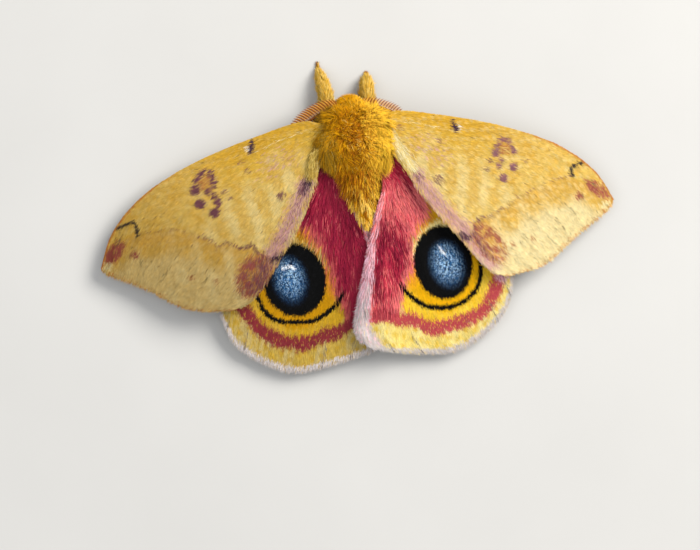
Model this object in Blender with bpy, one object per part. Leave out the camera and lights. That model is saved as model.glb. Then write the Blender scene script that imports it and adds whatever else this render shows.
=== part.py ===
"""Male io moth at rest, life size, wings half spread so that both eyespots show.

The head points along -Y and the moth's left side is +X. It stands on its six feet at z = 0.
"""

import math
import random

import bmesh
import bpy
import numpy as np
from mathutils import Matrix, Vector

MM = 0.001

# Shared clearances and thicknesses
GAP = 0.3 * MM                  # between neighbouring sub-parts
WING_HALF_THICKNESS = 0.26 * MM
VEIN_HEIGHT = 0.14 * MM
VEIN_HALF_WIDTH = 0.38 * MM
MARGIN_SCALLOP = 0.18 * MM      # how far the margin dips between two veins

# Wings, seen from above: (outward, rearward) from the middle of the thorax, in mm
FORE_COSTA = [(3.2, -2.6), (6.5, -3.4), (12.2, -2.3), (17.8, -0.9), (23.3, 1.0), (28.4, 3.7),
              (32.4, 7.6), (34.5, 12.4)]
FORE_MARGIN = [(34.5, 12.4), (33.7, 13.5), (28.9, 16.4), (24.1, 19.4), (18.4, 20.2)]
FORE_INNER = [(3.4, 0.2), (5.4, 3.0), (8.5, 9.0), (12.5, 14.6), (15.6, 18.6), (18.4, 20.2)]
HIND_COSTA = [(2.9, 0.0), (8.0, 3.2), (13.6, 8.6), (18.2, 14.4), (20.0, 20.2)]
HIND_MARGIN = [(20.0, 20.2), (18.4, 24.6), (15.0, 27.6), (10.9, 29.3), (6.5, 29.0), (2.2, 28.2)]
HIND_INNER_LEFT = [(2.7, 3.0), (2.0, 5.8), (0.6, 8.7), (-0.6, 12.6), (-1.2, 18.0), (-0.9, 24.0)]
HIND_INNER_RIGHT = [(2.7, 3.0), (3.6, 6.0), (2.3, 9.2), (0.5, 14.3), (-1.6, 20.8), (-2.4, 24.6)]
HIND_END_LEFT = (0.0, 27.6)
HIND_END_RIGHT = (-1.2, 27.2)
FORE_INNER_SHIFT = {1: -0.6, -1: 0.6}    # the right forewing is drawn a little less over the hindwing

FORE_VEINS = (0.07, 0.18, 0.3, 0.42, 0.53, 0.65, 0.77, 0.9)
FORE_CELL_VEINS = (0.42, 0.53)     # these start at the cross-vein that closes the cell
HIND_VEINS = (0.1, 0.25, 0.4, 0.55, 0.7, 0.86)
HIND_CELL_VEINS = (0.4,)
COSTA_RIDGE, CROSS_VEIN_RIDGE = 0.6, 0.8     # against an ordinary vein's height
UNDERSIDE_RIDGE = 0.4
VEIN_START = (0.02, 0.2)                 # share of the wing's length over which the veins rise
VEIN_TAPER = 0.45                        # how much lower they are at the margin
CROSS_VEIN_REACH = 0.12                  # how far past the cell's veins the cross-vein runs
CELL_END = 0.42                          # share of the wing's length at the cross-vein
WING_STATIONS = 12
STATION_CROWDING = 1.15                  # over 1 sets the stations closer together near the margin
WIDEST_FOOT = 0.028                      # share of the wing's width from a vein's crest to its foot
VEIN_CLEARANCE = 0.6 * VEIN_HEIGHT       # room over the veins where a wing enters the coat

FORE_ROOT_OUT, FORE_ROOT_Z, FORE_SLOPE = 4, 7.3, 0.17      # mm, mm, and fall for each mm outward
HIND_ROOT_BACK, HIND_ROOT_Z, HIND_SLOPE_OUT, HIND_SLOPE_BACK = 2, 6.0, 0.055, 0.125
ABDOMEN_TENT, ABDOMEN_TENT_WIDTH = 1.15, 3.0     # the hindwings lie over the abdomen
TENT_RISE, TENT_FADE, TENT_FADE_SHARE = (2, 6), (19, 28), 0.75      # between these places, front to back
OVERLAP_LIFT = 0.95                      # the right hindwing lies on the left one
OVERLAP_OUT, OVERLAP_BACK = (1.8, 5.0), (3, 9)

# Body, in mm
MIDLINE = -0.5                           # the body lies a little to its right between the wings
THORAX_CENTRE = (MIDLINE + 0.15, -0.3, 5.6)
THORAX_CORE = (4.65, 4.5, 3.4)           # half-sizes of the dense inner coat
THORAX_FUR = 1.35                        # how far the locks stand off it
CREST_TILT = math.radians(14)            # the coat parts from a point ahead of the top
LOCK_ROWS = (6, 27, 49, 71, 94, 118)     # degrees from the crest
LOCK_WIDTH, LOCK_LENGTH, LOCK_THICKNESS = 2.1, 3.5, 0.66
THORAX_LOCK_SPACING, FEWEST_THORAX_LOCKS = 0.86, 5      # of a lock's width, and for each row

ABDOMEN_START = 4.45                     # where a thin cut parts it from the thorax
# rearward place, centre height, half-width, half-height
ABDOMEN_RINGS = [(2.6, 4.1, 2.5, 2.2), (4.4, 3.9, 2.9, 2.5), (8.0, 3.45, 2.75, 2.3), (12.5, 3.1, 2.35, 2.0),
                 (16.5, 2.8, 1.8, 1.5), (19.2, 2.65, 1.05, 0.95), (20.6, 2.6, 0.25, 0.25)]
ABDOMEN_FUR = 0.75
ABDOMEN_LOCK_ROWS = (4.9, 7.4, 10.0, 12.6, 15.2)
ABDOMEN_LOCK_SPACING, FEWEST_ABDOMEN_LOCKS = 0.95, 6
ABDOMEN_SIDES = 14

HEAD_CENTRE, HEAD_SIZE = (MIDLINE, -4.95, 4.5), (1.95, 1.3, 1.6)
EYE_PLACE, EYE_RADIUS = (1.6, -5.15, 4.5), 0.8
PALP_PATH = [(0.55, -5.6, 3.7), (0.65, -6.15, 3.25), (0.6, -6.35, 2.7)]
PALP_RADII = (0.42, 0.4, 0.26)

ANTENNA_PATH = [(1.2, -5.1, 5.5), (3.1, -4.7, 5.4), (5.2, -3.75, 5.2), (7.2, -2.6, 4.9), (9.0, -1.2, 4.6)]
ANTENNA_RADIUS, RAMUS_RADIUS = 0.34, 0.25
ANTENNA_TIP = 0.7                        # its radius at the tip against the rest
RAMUS_PITCH, RAMUS_LENGTH = 0.9, 1.2
FIRST_RAMUS, BARE_LENGTH = 0.7, 1.2      # where the comb starts, and how much of the shaft has none
COMB_START, COMB_SPREAD, COMB_FULLNESS = 0.16, 0.86, 0.7    # the comb is longest a third of the way along
RAMUS_KNEE, RAMUS_SWEEP, RAMUS_DROOP = 0.55, 0.5, 0.35      # each ramus bends forward and hangs a little
RAMUS_TAPER = (1, 0.95, 0.6)
COMB_ROOM = (1.0, 1.6, 1.6, 1.4, 0.8)    # half-widths of the smooth leaf of room that the fur leaves for it
COMB_ROOM_FLATNESS = 0.5

FORE_LEG = [(1.6, -3.0, 2.6), (2.55, -5.4, 2.3), (2.65, -7.4, 2.0), (2.85, -9.4, 1.15), (2.95, -10.7, 0.5),
            (3.0, -11.6, 0.22)]
FORE_LEG_RADII = (0.8, 1.15, 1.0, 0.75, 0.36, 0.27)
MID_LEG = [(2.0, -0.8, 2.9), (4.6, -0.6, 3.4), (6.9, 0.3, 3.0), (8.3, 1.6, 1.3), (9.0, 2.6, 0.4),
           (9.7, 3.6, 0.22)]
MID_LEG_RADII = (0.8, 0.85, 0.7, 0.55, 0.32, 0.27)
HIND_LEG = [(1.7, 1.9, 2.8), (4.0, 4.2, 3.2), (5.6, 7.2, 2.7), (6.3, 10.2, 1.3), (6.6, 12.2, 0.4),
            (6.9, 14.0, 0.22)]
HIND_LEG_RADII = (0.8, 0.85, 0.75, 0.55, 0.32, 0.27)
RIGHT_FORE_LEG_SHIFT = (0.45, 2.0)       # how far out and back the right foreleg's tip is from the left one's
SHIFT_AT_BASE = 0.4                      # share of the outward shift at the leg's base
LEG_SIDES, LEG_STATIONS = 8, 11
END_ROUNDING = 0.72                      # a limb's first and last ring against its radius there

THORAX_SEED, ABDOMEN_SEED = 6, 3
LOCK_SINK = 0.7                          # mm: how deep a lock's root goes into its core
LOCK_PROFILE = (0.75, 1.0, 0.86, 0.5)    # a lock's width from root to near the tip
LOCK_RISE_POWER, LOCK_THINNING = 0.8, 0.3
LOWEST_LOCK_ROOT = 1.9
# how much one lock differs from the next
LOCK_STRAY_AROUND, LOCK_STRAY_ALONG, LOCK_SWEEP = 0.14, 0.01, 0.02
LENGTH_SPREAD, RISE_SPREAD, WIDTH_SPREAD = (0.86, 1.14), (0.8, 1.1), (0.9, 1.15)
PACE = 0.01                              # the step along a surface from which directions are read
SHARPEST_SPREAD = 1.6                    # the most that a cutter's corner moves, against its faces
BODY_CUT_LOW, BODY_CUT_HIGH = (-8, -5, -2), (8, 30, 14)     # mm: a box round the body

COLOURS = {
    "thorax": "D8921A", "abdomen": "D89A2C", "head": "C98A1C", "eye": "1B120C", "antenna": "B5651D",
    "palp": "C9902A", "leg": "D3A23A", "forewing": "DDB04A", "hindwing": "B8434F",
}


def clear_scene():
    for obj in list(bpy.data.objects):
        bpy.data.objects.remove(obj, do_unlink=True)


def material(kind):
    found = bpy.data.materials.get(kind)
    if found:
        return found
    made = bpy.data.materials.new(kind)
    made.use_nodes = True
    shader = made.node_tree.nodes["Principled BSDF"]
    channels = [int(COLOURS[kind][i:i + 2], 16) / 255 for i in (0, 2, 4)]
    linear = [c / 12.92 if c <= 0.04045 else ((c + 0.055) / 1.055) ** 2.4 for c in channels]
    shader.inputs["Base Color"].default_value = (*linear, 1)
    shader.inputs["Roughness"].default_value = 0.15 if kind == "eye" else 0.85
    shader.inputs["Metallic"].default_value = 0.0
    return made


def solid(name, kind, points, faces):
    """A closed mesh object from points in metres."""
    mesh = bpy.data.meshes.new(name)
    mesh.from_pydata([tuple(p) for p in points], [], faces)
    mesh.validate()
    mesh.materials.append(material(kind))
    mesh.shade_smooth()
    mesh.set_sharp_from_angle(angle=math.radians(50))
    obj = bpy.data.objects.new(name, mesh)
    bpy.context.scene.collection.objects.link(obj)
    return obj


def smooth_step(low, high, value):
    share = np.clip((value - low) / (high - low), 0, 1)
    return share * share * (3 - 2 * share)


def curve_through(points):
    """A function of 0..1 that runs at an even speed along a smooth curve through the points."""
    knots = np.array(points, float)
    ends = np.vstack([2 * knots[0] - knots[1], knots, 2 * knots[-1] - knots[-2]])
    dense = []
    for i in range(len(knots) - 1):
        a, b, c, d = ends[i:i + 4]
        for u in np.linspace(0, 1, 24, endpoint=False):
            dense.append(0.5 * (2 * b + (c - a) * u + (2 * a - 5 * b + 4 * c - d) * u ** 2
                                + (3 * b - a - 3 * c + d) * u ** 3))
    dense = np.vstack([dense, knots[-1:]])
    along = np.concatenate([[0], np.cumsum(np.linalg.norm(np.diff(dense, axis=0), axis=1))])
    along /= along[-1]
    return lambda share: np.array([np.interp(share, along, dense[:, k]) for k in range(dense.shape[1])])


# Wings

def fore_height(out, back):
    return FORE_ROOT_Z - FORE_SLOPE * (abs(out) - FORE_ROOT_OUT)


def hind_height(side):
    def height(out, back):
        across = side * out - MIDLINE
        plane = HIND_ROOT_Z - HIND_SLOPE_BACK * (back - HIND_ROOT_BACK) - HIND_SLOPE_OUT * abs(across)
        tent = ABDOMEN_TENT * math.exp(-(across / ABDOMEN_TENT_WIDTH) ** 2)
        tent *= smooth_step(*TENT_RISE, back) * (1 - TENT_FADE_SHARE * smooth_step(*TENT_FADE, back))
        lift = 0.0
        if side < 0:
            lift = OVERLAP_LIFT * (1 - smooth_step(*OVERLAP_OUT, out)) * smooth_step(*OVERLAP_BACK, back)
        return plane + tent + lift
    return height


def wing_outlines(kind, side):
    if kind == "forewing":
        shift = FORE_INNER_SHIFT[side]
        last = len(FORE_INNER) - 1
        inner = [(x + shift * math.sin(math.pi * i / last), y) for i, (x, y) in enumerate(FORE_INNER)]
        return FORE_COSTA, FORE_MARGIN, inner, fore_height
    inner = list(HIND_INNER_LEFT if side > 0 else HIND_INNER_RIGHT)
    end = HIND_END_LEFT if side > 0 else HIND_END_RIGHT
    return HIND_COSTA, HIND_MARGIN + [end], inner + [end], hind_height(side)


def wing(kind, side, veined=True):
    """A membrane with its veins raised in its own surface, split alike on both faces."""
    veins = FORE_VEINS if kind == "forewing" else HIND_VEINS
    late = FORE_CELL_VEINS if kind == "forewing" else HIND_CELL_VEINS
    costa_points, margin_points, inner_points, height = wing_outlines(kind, side)
    costa, margin, inner = map(curve_through, (costa_points, margin_points, inner_points))
    root, far_root = costa(0), inner(0)
    apex, tornus = costa(1), inner(1)

    def plan(s, t):
        edges = (1 - t) * costa(s) + t * inner(s) + (1 - s) * (root + (far_root - root) * t) + s * margin(t)
        corners = (1 - s) * ((1 - t) * root + t * far_root) + s * ((1 - t) * apex + t * tornus)
        return edges - corners

    stations = [1 - (1 - k / (WING_STATIONS - 1)) ** STATION_CROWDING for k in range(WING_STATIONS)]
    cell_row = int(np.argmin([abs(s - CELL_END) for s in stations]))
    top, bottom = [], []
    for row, s in enumerate(stations):
        columns = [(0.0, COSTA_RIDGE)]
        for vein in veins:
            width = np.linalg.norm(plan(s, vein + PACE) - plan(s, vein - PACE)) / (2 * PACE) * MM
            foot = min(VEIN_HALF_WIDTH / width, WIDEST_FOOT)
            raised = 0.0 if vein in late and row < cell_row else 1.0
            columns += [(vein - foot, 0.0), (vein, raised), (vein + foot, 0.0)]
        columns.append((1.0, 0.0))
        for t, ridge in columns:
            if row == cell_row and late[0] - CROSS_VEIN_REACH < t < late[-1] + CROSS_VEIN_REACH:
                ridge = max(ridge, CROSS_VEIN_RIDGE)
            out, back = plan(s, t)
            if row == WING_STATIONS - 1 and ridge == 0.0 and 0 < t < 1:
                inward = plan(s - PACE, t) - plan(s, t)
                out, back = (out, back) + inward / np.linalg.norm(inward) * MARGIN_SCALLOP / MM
            middle = height(out, back) * MM
            rise = VEIN_HEIGHT * ridge * (1 - VEIN_TAPER * s) * smooth_step(*VEIN_START, s) * veined
            top.append((side * out * MM, back * MM, middle + WING_HALF_THICKNESS + rise))
            low = middle - WING_HALF_THICKNESS - UNDERSIDE_RIDGE * rise
            bottom.append((side * out * MM, back * MM, low))
    wide = len(columns)
    faces = []
    for row in range(WING_STATIONS - 1):
        for col in range(wide - 1):
            a, b = row * wide + col, row * wide + col + 1
            c, d = b + wide, a + wide
            low = len(top)
            faces += [(a, b, c), (a, c, d), (low + a, low + c, low + b), (low + a, low + d, low + c)]
    rim = list(range(wide)) + [r * wide + wide - 1 for r in range(1, WING_STATIONS)]
    rim += list(range(len(top) - 2, len(top) - wide - 1, -1))
    rim += [r * wide for r in range(WING_STATIONS - 2, 0, -1)]
    for a, b in zip(rim, rim[1:] + rim[:1]):
        faces += [(a, len(top) + a, len(top) + b), (a, len(top) + b, b)]
    made = solid(f"{kind}_{'left' if side > 0 else 'right'}", kind, top + bottom, faces)
    face_outwards(made)
    return made


def wing_cutters():
    """Smooth, thicker copies of the wings, which leave room for the veins and the gap."""
    made = []
    for side in (1, -1):
        for kind in ("forewing", "hindwing"):
            plain = wing(kind, side, veined=False)
            made.append(grown(plain, GAP + VEIN_CLEARANCE))
            bpy.data.objects.remove(plain, do_unlink=True)
    return made


def face_outwards(obj):
    bm = bmesh.new()
    bm.from_mesh(obj.data)
    bmesh.ops.recalc_face_normals(bm, faces=bm.faces)
    if bm.calc_volume(signed=True) < 0:
        bmesh.ops.reverse_faces(bm, faces=bm.faces)
    bm.to_mesh(obj.data)
    bm.free()


# Round forms

def ellipsoid(name, kind, centre, size, rings=12, sides=16):
    points = [Vector((0, 0, -1))]
    for i in range(1, rings):
        polar = math.pi * i / rings
        for k in range(sides):
            turn = 2 * math.pi * k / sides
            points.append(Vector((math.sin(polar) * math.cos(turn), math.sin(polar) * math.sin(turn),
                                  -math.cos(polar))))
    points.append(Vector((0, 0, 1)))
    last = len(points) - 1
    faces = []
    for k in range(sides):
        after = (k + 1) % sides
        faces.append((0, 1 + after, 1 + k))
        for i in range(rings - 2):
            low, high = 1 + i * sides, 1 + (i + 1) * sides
            faces.append((low + k, low + after, high + after, high + k))
        faces.append((last, last - sides + k, last - sides + after))
    placed = [[(p[j] * size[j] + centre[j]) * MM for j in range(3)] for p in points]
    made = solid(name, kind, placed, faces)
    face_outwards(made)
    return made


def tube(name, kind, path, radii, sides, stations, side=1, flatten=1.0):
    """A tapered round limb along a smooth path, its underside level where it reaches the floor."""
    knots = np.array([(MIDLINE + side * x, y, z) for x, y, z in path])
    along = np.concatenate([[0], np.cumsum(np.linalg.norm(np.diff(knots, axis=0), axis=1))])
    centre = curve_through(knots)
    points, faces = [], []
    for i in range(stations):
        share = i / (stations - 1)
        forward = Vector(centre(min(1, share + PACE)) - centre(max(0, share - PACE))).normalized()
        across = forward.cross(Vector((0, 0, 1))).normalized()
        up = across.cross(forward)
        radius = float(np.interp(share, along / along[-1], radii))
        if i in (0, stations - 1):
            radius *= END_ROUNDING
        for k in range(sides):
            turn = 2 * math.pi * (k + 0.5) / sides
            p = Vector(centre(share)) + across * (radius * math.cos(turn))
            p += up * (radius * flatten * math.sin(turn))
            points.append((p.x * MM, p.y * MM, max(p.z, 0.0) * MM))
    for i in range(stations - 1):
        for k in range(sides):
            after = (k + 1) % sides
            faces.append((i * sides + k, i * sides + after, (i + 1) * sides + after, (i + 1) * sides + k))
    faces.append(tuple(range(sides)))
    faces.append(tuple(range((stations - 1) * sides, stations * sides)))
    made = solid(name, kind, points, faces)
    face_outwards(made)
    return made


# Joining and cutting

def largest_surface(obj):
    """Keeps the one closed surface with the most volume."""
    bm = bmesh.new()
    bm.from_mesh(obj.data)
    bmesh.ops.triangulate(bm, faces=bm.faces)
    bm.faces.ensure_lookup_table()
    seen, groups = set(), []
    for start in bm.faces:
        if start.index in seen:
            continue
        seen.add(start.index)
        group, waiting = [start], [start]
        while waiting:
            here = waiting.pop()
            for edge in here.edges:
                for other in edge.link_faces:
                    if other.index not in seen:
                        seen.add(other.index)
                        group.append(other)
                        waiting.append(other)
        groups.append(group)

    def volume(group):
        return abs(sum(f.verts[0].co.dot(f.verts[1].co.cross(f.verts[2].co)) for f in group))

    keep = max(groups, key=volume)
    scraps = [face for group in groups if group is not keep for face in group]
    bmesh.ops.delete(bm, geom=scraps, context="FACES")
    bm.to_mesh(obj.data)
    bm.free()


def boolean(obj, others, operation):
    """One Boolean of a collection of closed meshes, applied; the collection's objects are removed."""
    group = bpy.data.collections.new(obj.name + "_tools")
    bpy.context.scene.collection.children.link(group)
    for other in others:
        group.objects.link(other)
        bpy.context.scene.collection.objects.unlink(other)
    step = obj.modifiers.new(operation.title(), "BOOLEAN")
    step.operation = operation
    step.operand_type = "COLLECTION"
    step.collection = group
    step.solver = "MANIFOLD"
    graph = bpy.context.evaluated_depsgraph_get()
    made = bpy.data.meshes.new_from_object(obj.evaluated_get(graph))
    obj.modifiers.clear()
    old, obj.data = obj.data, made
    bpy.data.meshes.remove(old)
    for other in others:
        bpy.data.objects.remove(other, do_unlink=True)
    bpy.data.collections.remove(group)
    largest_surface(obj)


def grown(obj, by=GAP):
    """A cutter: the object with its surface moved outward, so that what it cuts keeps a gap to it."""
    copy = obj.copy()
    copy.data = obj.data.copy()
    copy.name = obj.name + "_grown"
    copy.hide_render = True
    copy.display_type = "WIRE"
    bpy.context.scene.collection.objects.link(copy)
    bm = bmesh.new()
    bm.from_mesh(copy.data)
    bm.normal_update()
    moves = [vert.normal * by * min(vert.calc_shell_factor(), SHARPEST_SPREAD) for vert in bm.verts]
    for vert, move in zip(bm.verts, moves):
        vert.co += move
    bm.to_mesh(copy.data)
    bm.free()
    return copy


def block(name, kind, low, high):
    """A box from its lowest and highest corners, in mm."""
    corners = [[(low, high)[(i >> axis) & 1][axis] * MM for axis in range(3)] for i in range(8)]
    faces = [(0, 2, 3, 1), (4, 5, 7, 6), (0, 1, 5, 4), (2, 6, 7, 3), (0, 4, 6, 2), (1, 3, 7, 5)]
    made = solid(name, kind, corners, faces)
    face_outwards(made)
    return made


# Coat

def thorax_surface(u, v):
    """A point in mm and the outward normal: u turns round the crest, v runs from it, both 0..1."""
    polar, turn = math.pi * v, 2 * math.pi * u
    unit = Vector((math.sin(polar) * math.sin(turn), -math.sin(polar) * math.cos(turn), math.cos(polar)))
    unit = Matrix.Rotation(CREST_TILT, 3, "X") @ unit
    point = Vector([unit[k] * THORAX_CORE[k] + THORAX_CENTRE[k] for k in range(3)])
    normal = Vector([unit[k] / THORAX_CORE[k] for k in range(3)]).normalized()
    return point, normal


def abdomen_surface(u, v):
    """As for the thorax: u turns round the abdomen, v runs back along it."""
    rings = np.array(ABDOMEN_RINGS)
    back = rings[0, 0] + (rings[-1, 0] - rings[0, 0]) * min(max(v, 0.0), 1.0)

    def ring(at):
        return [float(np.interp(at, rings[:, 0], rings[:, k])) for k in (1, 2, 3)]

    height, wide, tall = ring(back)
    turn = 2 * math.pi * u
    point = Vector((MIDLINE + wide * math.sin(turn), back, height + tall * math.cos(turn)))
    normal = Vector((math.sin(turn) / wide, 0.0, math.cos(turn) / tall)).normalized()
    step = PACE * (rings[-1, 0] - rings[0, 0])
    ahead, behind = ring(back - step), ring(back + step)
    normal.y = (ahead[1] - behind[1]) / (2 * step)
    return point, normal.normalized()


def lock(name, kind, surface, u, v, length, rise, width, sweep=0.0):
    """A flat tapered lock whose root is sunk in the core and whose tip stands off it."""
    here = surface(u, v)[0]
    pace = (surface(u, v + PACE)[0] - here).length / PACE
    steps = len(LOCK_PROFILE)
    points, faces = [], []
    for i in range(steps + 1):
        share = i / steps
        at, normal = surface(u + sweep * share * share, v + length / pace * share)
        ahead = surface(u + sweep * share * share, v + length / pace * share + PACE)[0] - at
        across = normal.cross(ahead).normalized()
        middle = at + normal * (-LOCK_SINK + (LOCK_SINK + rise) * share ** LOCK_RISE_POWER)
        if i == steps:
            points.append(middle)
            continue
        half = 0.5 * width * LOCK_PROFILE[i]
        thick = 0.5 * LOCK_THICKNESS * (1 - LOCK_THINNING * share)
        points += [middle - across * half, middle + normal * thick, middle + across * half,
                   middle - normal * thick]
    for i in range(steps - 1):
        for k in range(4):
            a, b = 4 * i + k, 4 * i + (k + 1) % 4
            faces.append((a, b, b + 4, a + 4))
    last = 4 * (steps - 1)
    faces += [(last + k, last + (k + 1) % 4, len(points) - 1) for k in range(4)] + [(0, 1, 2, 3)]
    made = solid(name, kind, [p * MM for p in points], faces)
    face_outwards(made)
    return made


def coat(kind, surface, rows, around, length, rise, width, seed, keep=None):
    """Locks in tiers from the head end back, each tier over the roots of the next."""
    draw = random.Random(seed)
    made = []
    for row, v in enumerate(rows):
        count = around(v)
        for k in range(count):
            u = (k + 0.5 * (row % 2) + draw.uniform(-LOCK_STRAY_AROUND, LOCK_STRAY_AROUND)) / count
            at = surface(u, v)[0]
            if at.z < LOWEST_LOCK_ROOT or (keep and not keep(at)):
                continue
            start = v + draw.uniform(-LOCK_STRAY_ALONG, LOCK_STRAY_ALONG)
            made.append(lock(f"{kind}_lock_{row}_{k}", kind, surface, u, start,
                             length * draw.uniform(*LENGTH_SPREAD), rise * draw.uniform(*RISE_SPREAD),
                             width * draw.uniform(*WIDTH_SPREAD), draw.uniform(-LOCK_SWEEP, LOCK_SWEEP)))
    return made


def thorax():
    made = ellipsoid("thorax", "thorax", THORAX_CENTRE, THORAX_CORE)

    def around(v):
        reach = 2 * math.pi * max(THORAX_CORE) * math.sin(math.pi * v)
        return max(FEWEST_THORAX_LOCKS, round(reach / (LOCK_WIDTH * THORAX_LOCK_SPACING)))

    rows = [angle / 180 for angle in LOCK_ROWS]
    locks = coat("thorax", thorax_surface, rows, around, LOCK_LENGTH, THORAX_FUR, LOCK_WIDTH, THORAX_SEED,
                 lambda at: at.y < ABDOMEN_START)
    boolean(made, locks, "UNION")
    return made


def abdomen():
    sides, points, faces = ABDOMEN_SIDES, [], []
    for back, height, wide, tall in ABDOMEN_RINGS:
        for k in range(sides):
            turn = 2 * math.pi * k / sides
            points.append(((MIDLINE + wide * math.sin(turn)) * MM, back * MM,
                           (height + tall * math.cos(turn)) * MM))
    for i in range(len(ABDOMEN_RINGS) - 1):
        for k in range(sides):
            a, b = i * sides + k, i * sides + (k + 1) % sides
            faces.append((a, b, b + sides, a + sides))
    faces += [tuple(range(sides)), tuple(range(len(points) - sides, len(points)))]
    made = solid("abdomen", "abdomen", points, faces)
    face_outwards(made)
    first, last = ABDOMEN_RINGS[0][0], ABDOMEN_RINGS[-1][0]
    rows = [(back - first) / (last - first) for back in ABDOMEN_LOCK_ROWS]

    def around(v):
        back = first + (last - first) * v
        wide = np.interp(back, [ring[0] for ring in ABDOMEN_RINGS], [ring[2] for ring in ABDOMEN_RINGS])
        return max(FEWEST_ABDOMEN_LOCKS, round(2 * math.pi * wide / (LOCK_WIDTH * ABDOMEN_LOCK_SPACING)))

    locks = coat("abdomen", abdomen_surface, rows, around, LOCK_LENGTH, ABDOMEN_FUR, LOCK_WIDTH, ABDOMEN_SEED)
    boolean(made, locks, "UNION")
    return made


# Head and feelers

def antenna(side):
    """A shaft with its comb: rami in pairs, each a filament of its own, longest a third of the way along."""
    name = "antenna_" + ("left" if side > 0 else "right")
    radii = [ANTENNA_RADIUS] * (len(ANTENNA_PATH) - 1) + [ANTENNA_TIP * ANTENNA_RADIUS]
    made = tube(name, "antenna", ANTENNA_PATH, radii, 6, 9, side)
    line = curve_through([(MIDLINE + side * x, y, z) for x, y, z in ANTENNA_PATH])
    length = sum((Vector(b) - Vector(a)).length for a, b in zip(ANTENNA_PATH, ANTENNA_PATH[1:]))
    count = int((length - BARE_LENGTH) / RAMUS_PITCH)
    rami = []
    for i in range(count):
        share = (FIRST_RAMUS + i * RAMUS_PITCH) / length
        at = Vector(line(share))
        forward = Vector(line(min(1, share + PACE)) - line(share - PACE)).normalized()
        across = forward.cross(Vector((0, 0, 1))).normalized()
        outline = math.sin(math.pi * min(1, COMB_START + share * COMB_SPREAD)) ** COMB_FULLNESS
        reach = RAMUS_LENGTH * outline
        for way in (-1, 1):
            bend = [at + across * way * reach * k + forward * RAMUS_SWEEP * reach * k * k
                    - Vector((0, 0, RAMUS_DROOP)) * k * k for k in (0, RAMUS_KNEE, 1)]
            rami.append(filament(f"{name}_ramus_{i}_{way}", "antenna", bend, RAMUS_RADIUS))
    boolean(made, rami, "UNION")
    return made


def antenna_room(side):
    """A cutter: the comb's outline as one flat leaf."""
    room = tube(f"antenna_room_{side}", "antenna", ANTENNA_PATH, COMB_ROOM, 8, 8, side, COMB_ROOM_FLATNESS)
    made = grown(room)
    bpy.data.objects.remove(room, do_unlink=True)
    return made


def filament(name, kind, spots, radius):
    """A thin four-sided tapered hair or ramus through three points, in mm."""
    points, faces = [], []
    forward = (spots[-1] - spots[0]).normalized()
    across = forward.cross(Vector((0, 0, 1))).normalized()
    up = across.cross(forward)
    for i, at in enumerate(spots):
        r = radius * RAMUS_TAPER[i]
        for k in range(4):
            turn = math.pi / 2 * (k + 0.5)
            points.append((at + across * r * math.cos(turn) + up * r * math.sin(turn)) * MM)
    for i in range(len(spots) - 1):
        for k in range(4):
            a, b = 4 * i + k, 4 * i + (k + 1) % 4
            faces.append((a, b, b + 4, a + 4))
    faces += [(0, 1, 2, 3), tuple(range(len(points) - 4, len(points)))]
    made = solid(name, kind, points, faces)
    face_outwards(made)
    return made


def limb(name, kind, path, radii, side):
    return tube(f"{name}_{'left' if side > 0 else 'right'}", kind, path, radii, LEG_SIDES, LEG_STATIONS, side)


def fore_leg_path(side):
    """The left foreleg's path, or the right one's, which turns out more and reaches less far."""
    if side > 0:
        return FORE_LEG
    out, back = RIGHT_FORE_LEG_SHIFT
    steps = len(FORE_LEG) - 1
    return [(x + out * (SHIFT_AT_BASE + (1 - SHIFT_AT_BASE) * i / steps), y + back * i / steps, z)
            for i, (x, y, z) in enumerate(FORE_LEG)]


def build():
    clear_scene()
    made = {}
    for side, word in ((1, "left"), (-1, "right")):
        for kind in ("forewing", "hindwing"):
            made[f"{kind}_{word}"] = wing(kind, side)
        made[f"fore_leg_{word}"] = limb("fore_leg", "leg", fore_leg_path(side), FORE_LEG_RADII, side)
        made[f"mid_leg_{word}"] = limb("mid_leg", "leg", MID_LEG, MID_LEG_RADII, side)
        made[f"hind_leg_{word}"] = limb("hind_leg", "leg", HIND_LEG, HIND_LEG_RADII, side)
        made[f"antenna_{word}"] = antenna(side)
        made[f"palp_{word}"] = tube(f"palp_{word}", "palp", PALP_PATH, PALP_RADII, 8, 5, side)
        eye_centre = (MIDLINE + side * EYE_PLACE[0], *EYE_PLACE[1:])
        made[f"eye_{word}"] = ellipsoid(f"eye_{word}", "eye", eye_centre, [EYE_RADIUS] * 3, 8, 12)
    head = ellipsoid("head", "head", HEAD_CENTRE, HEAD_SIZE, 12, 18)
    head_room = grown(head)
    boolean(head, [grown(made[f"{part}_{word}"]) for part in ("antenna", "palp", "eye")
                   for word in ("left", "right")], "DIFFERENCE")
    body = thorax()
    others = [obj for name, obj in made.items() if "wing" not in name and "antenna" not in name]
    left, low = BODY_CUT_LOW[0], BODY_CUT_LOW[2]
    right, high = BODY_CUT_HIGH[0], BODY_CUT_HIGH[2]
    behind = block("behind_thorax", "thorax", (left, ABDOMEN_START - GAP / MM, low), BODY_CUT_HIGH)
    cutters = [grown(other) for other in others] + [antenna_room(1), antenna_room(-1), head_room, behind]
    boolean(body, cutters + wing_cutters(), "DIFFERENCE")
    belly = abdomen()
    ahead = block("ahead_of_abdomen", "abdomen", BODY_CUT_LOW, (right, ABDOMEN_START, high))
    legs = [grown(made[f"hind_leg_{word}"]) for word in ("left", "right")]
    boolean(belly, legs + wing_cutters() + [ahead], "DIFFERENCE")
    settle(list(made.values()) + [head, body, belly])


def settle(objects):
    """Puts the middle of the whole moth's box over the origin, its feet at z = 0."""
    corners = np.array([v.co[:] for obj in objects for v in obj.data.vertices])
    low, high = corners.min(axis=0), corners.max(axis=0)
    move = Matrix.Translation((-(low[0] + high[0]) / 2, -(low[1] + high[1]) / 2, -low[2]))
    for obj in objects:
        obj.data.transform(move)


build()
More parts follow.
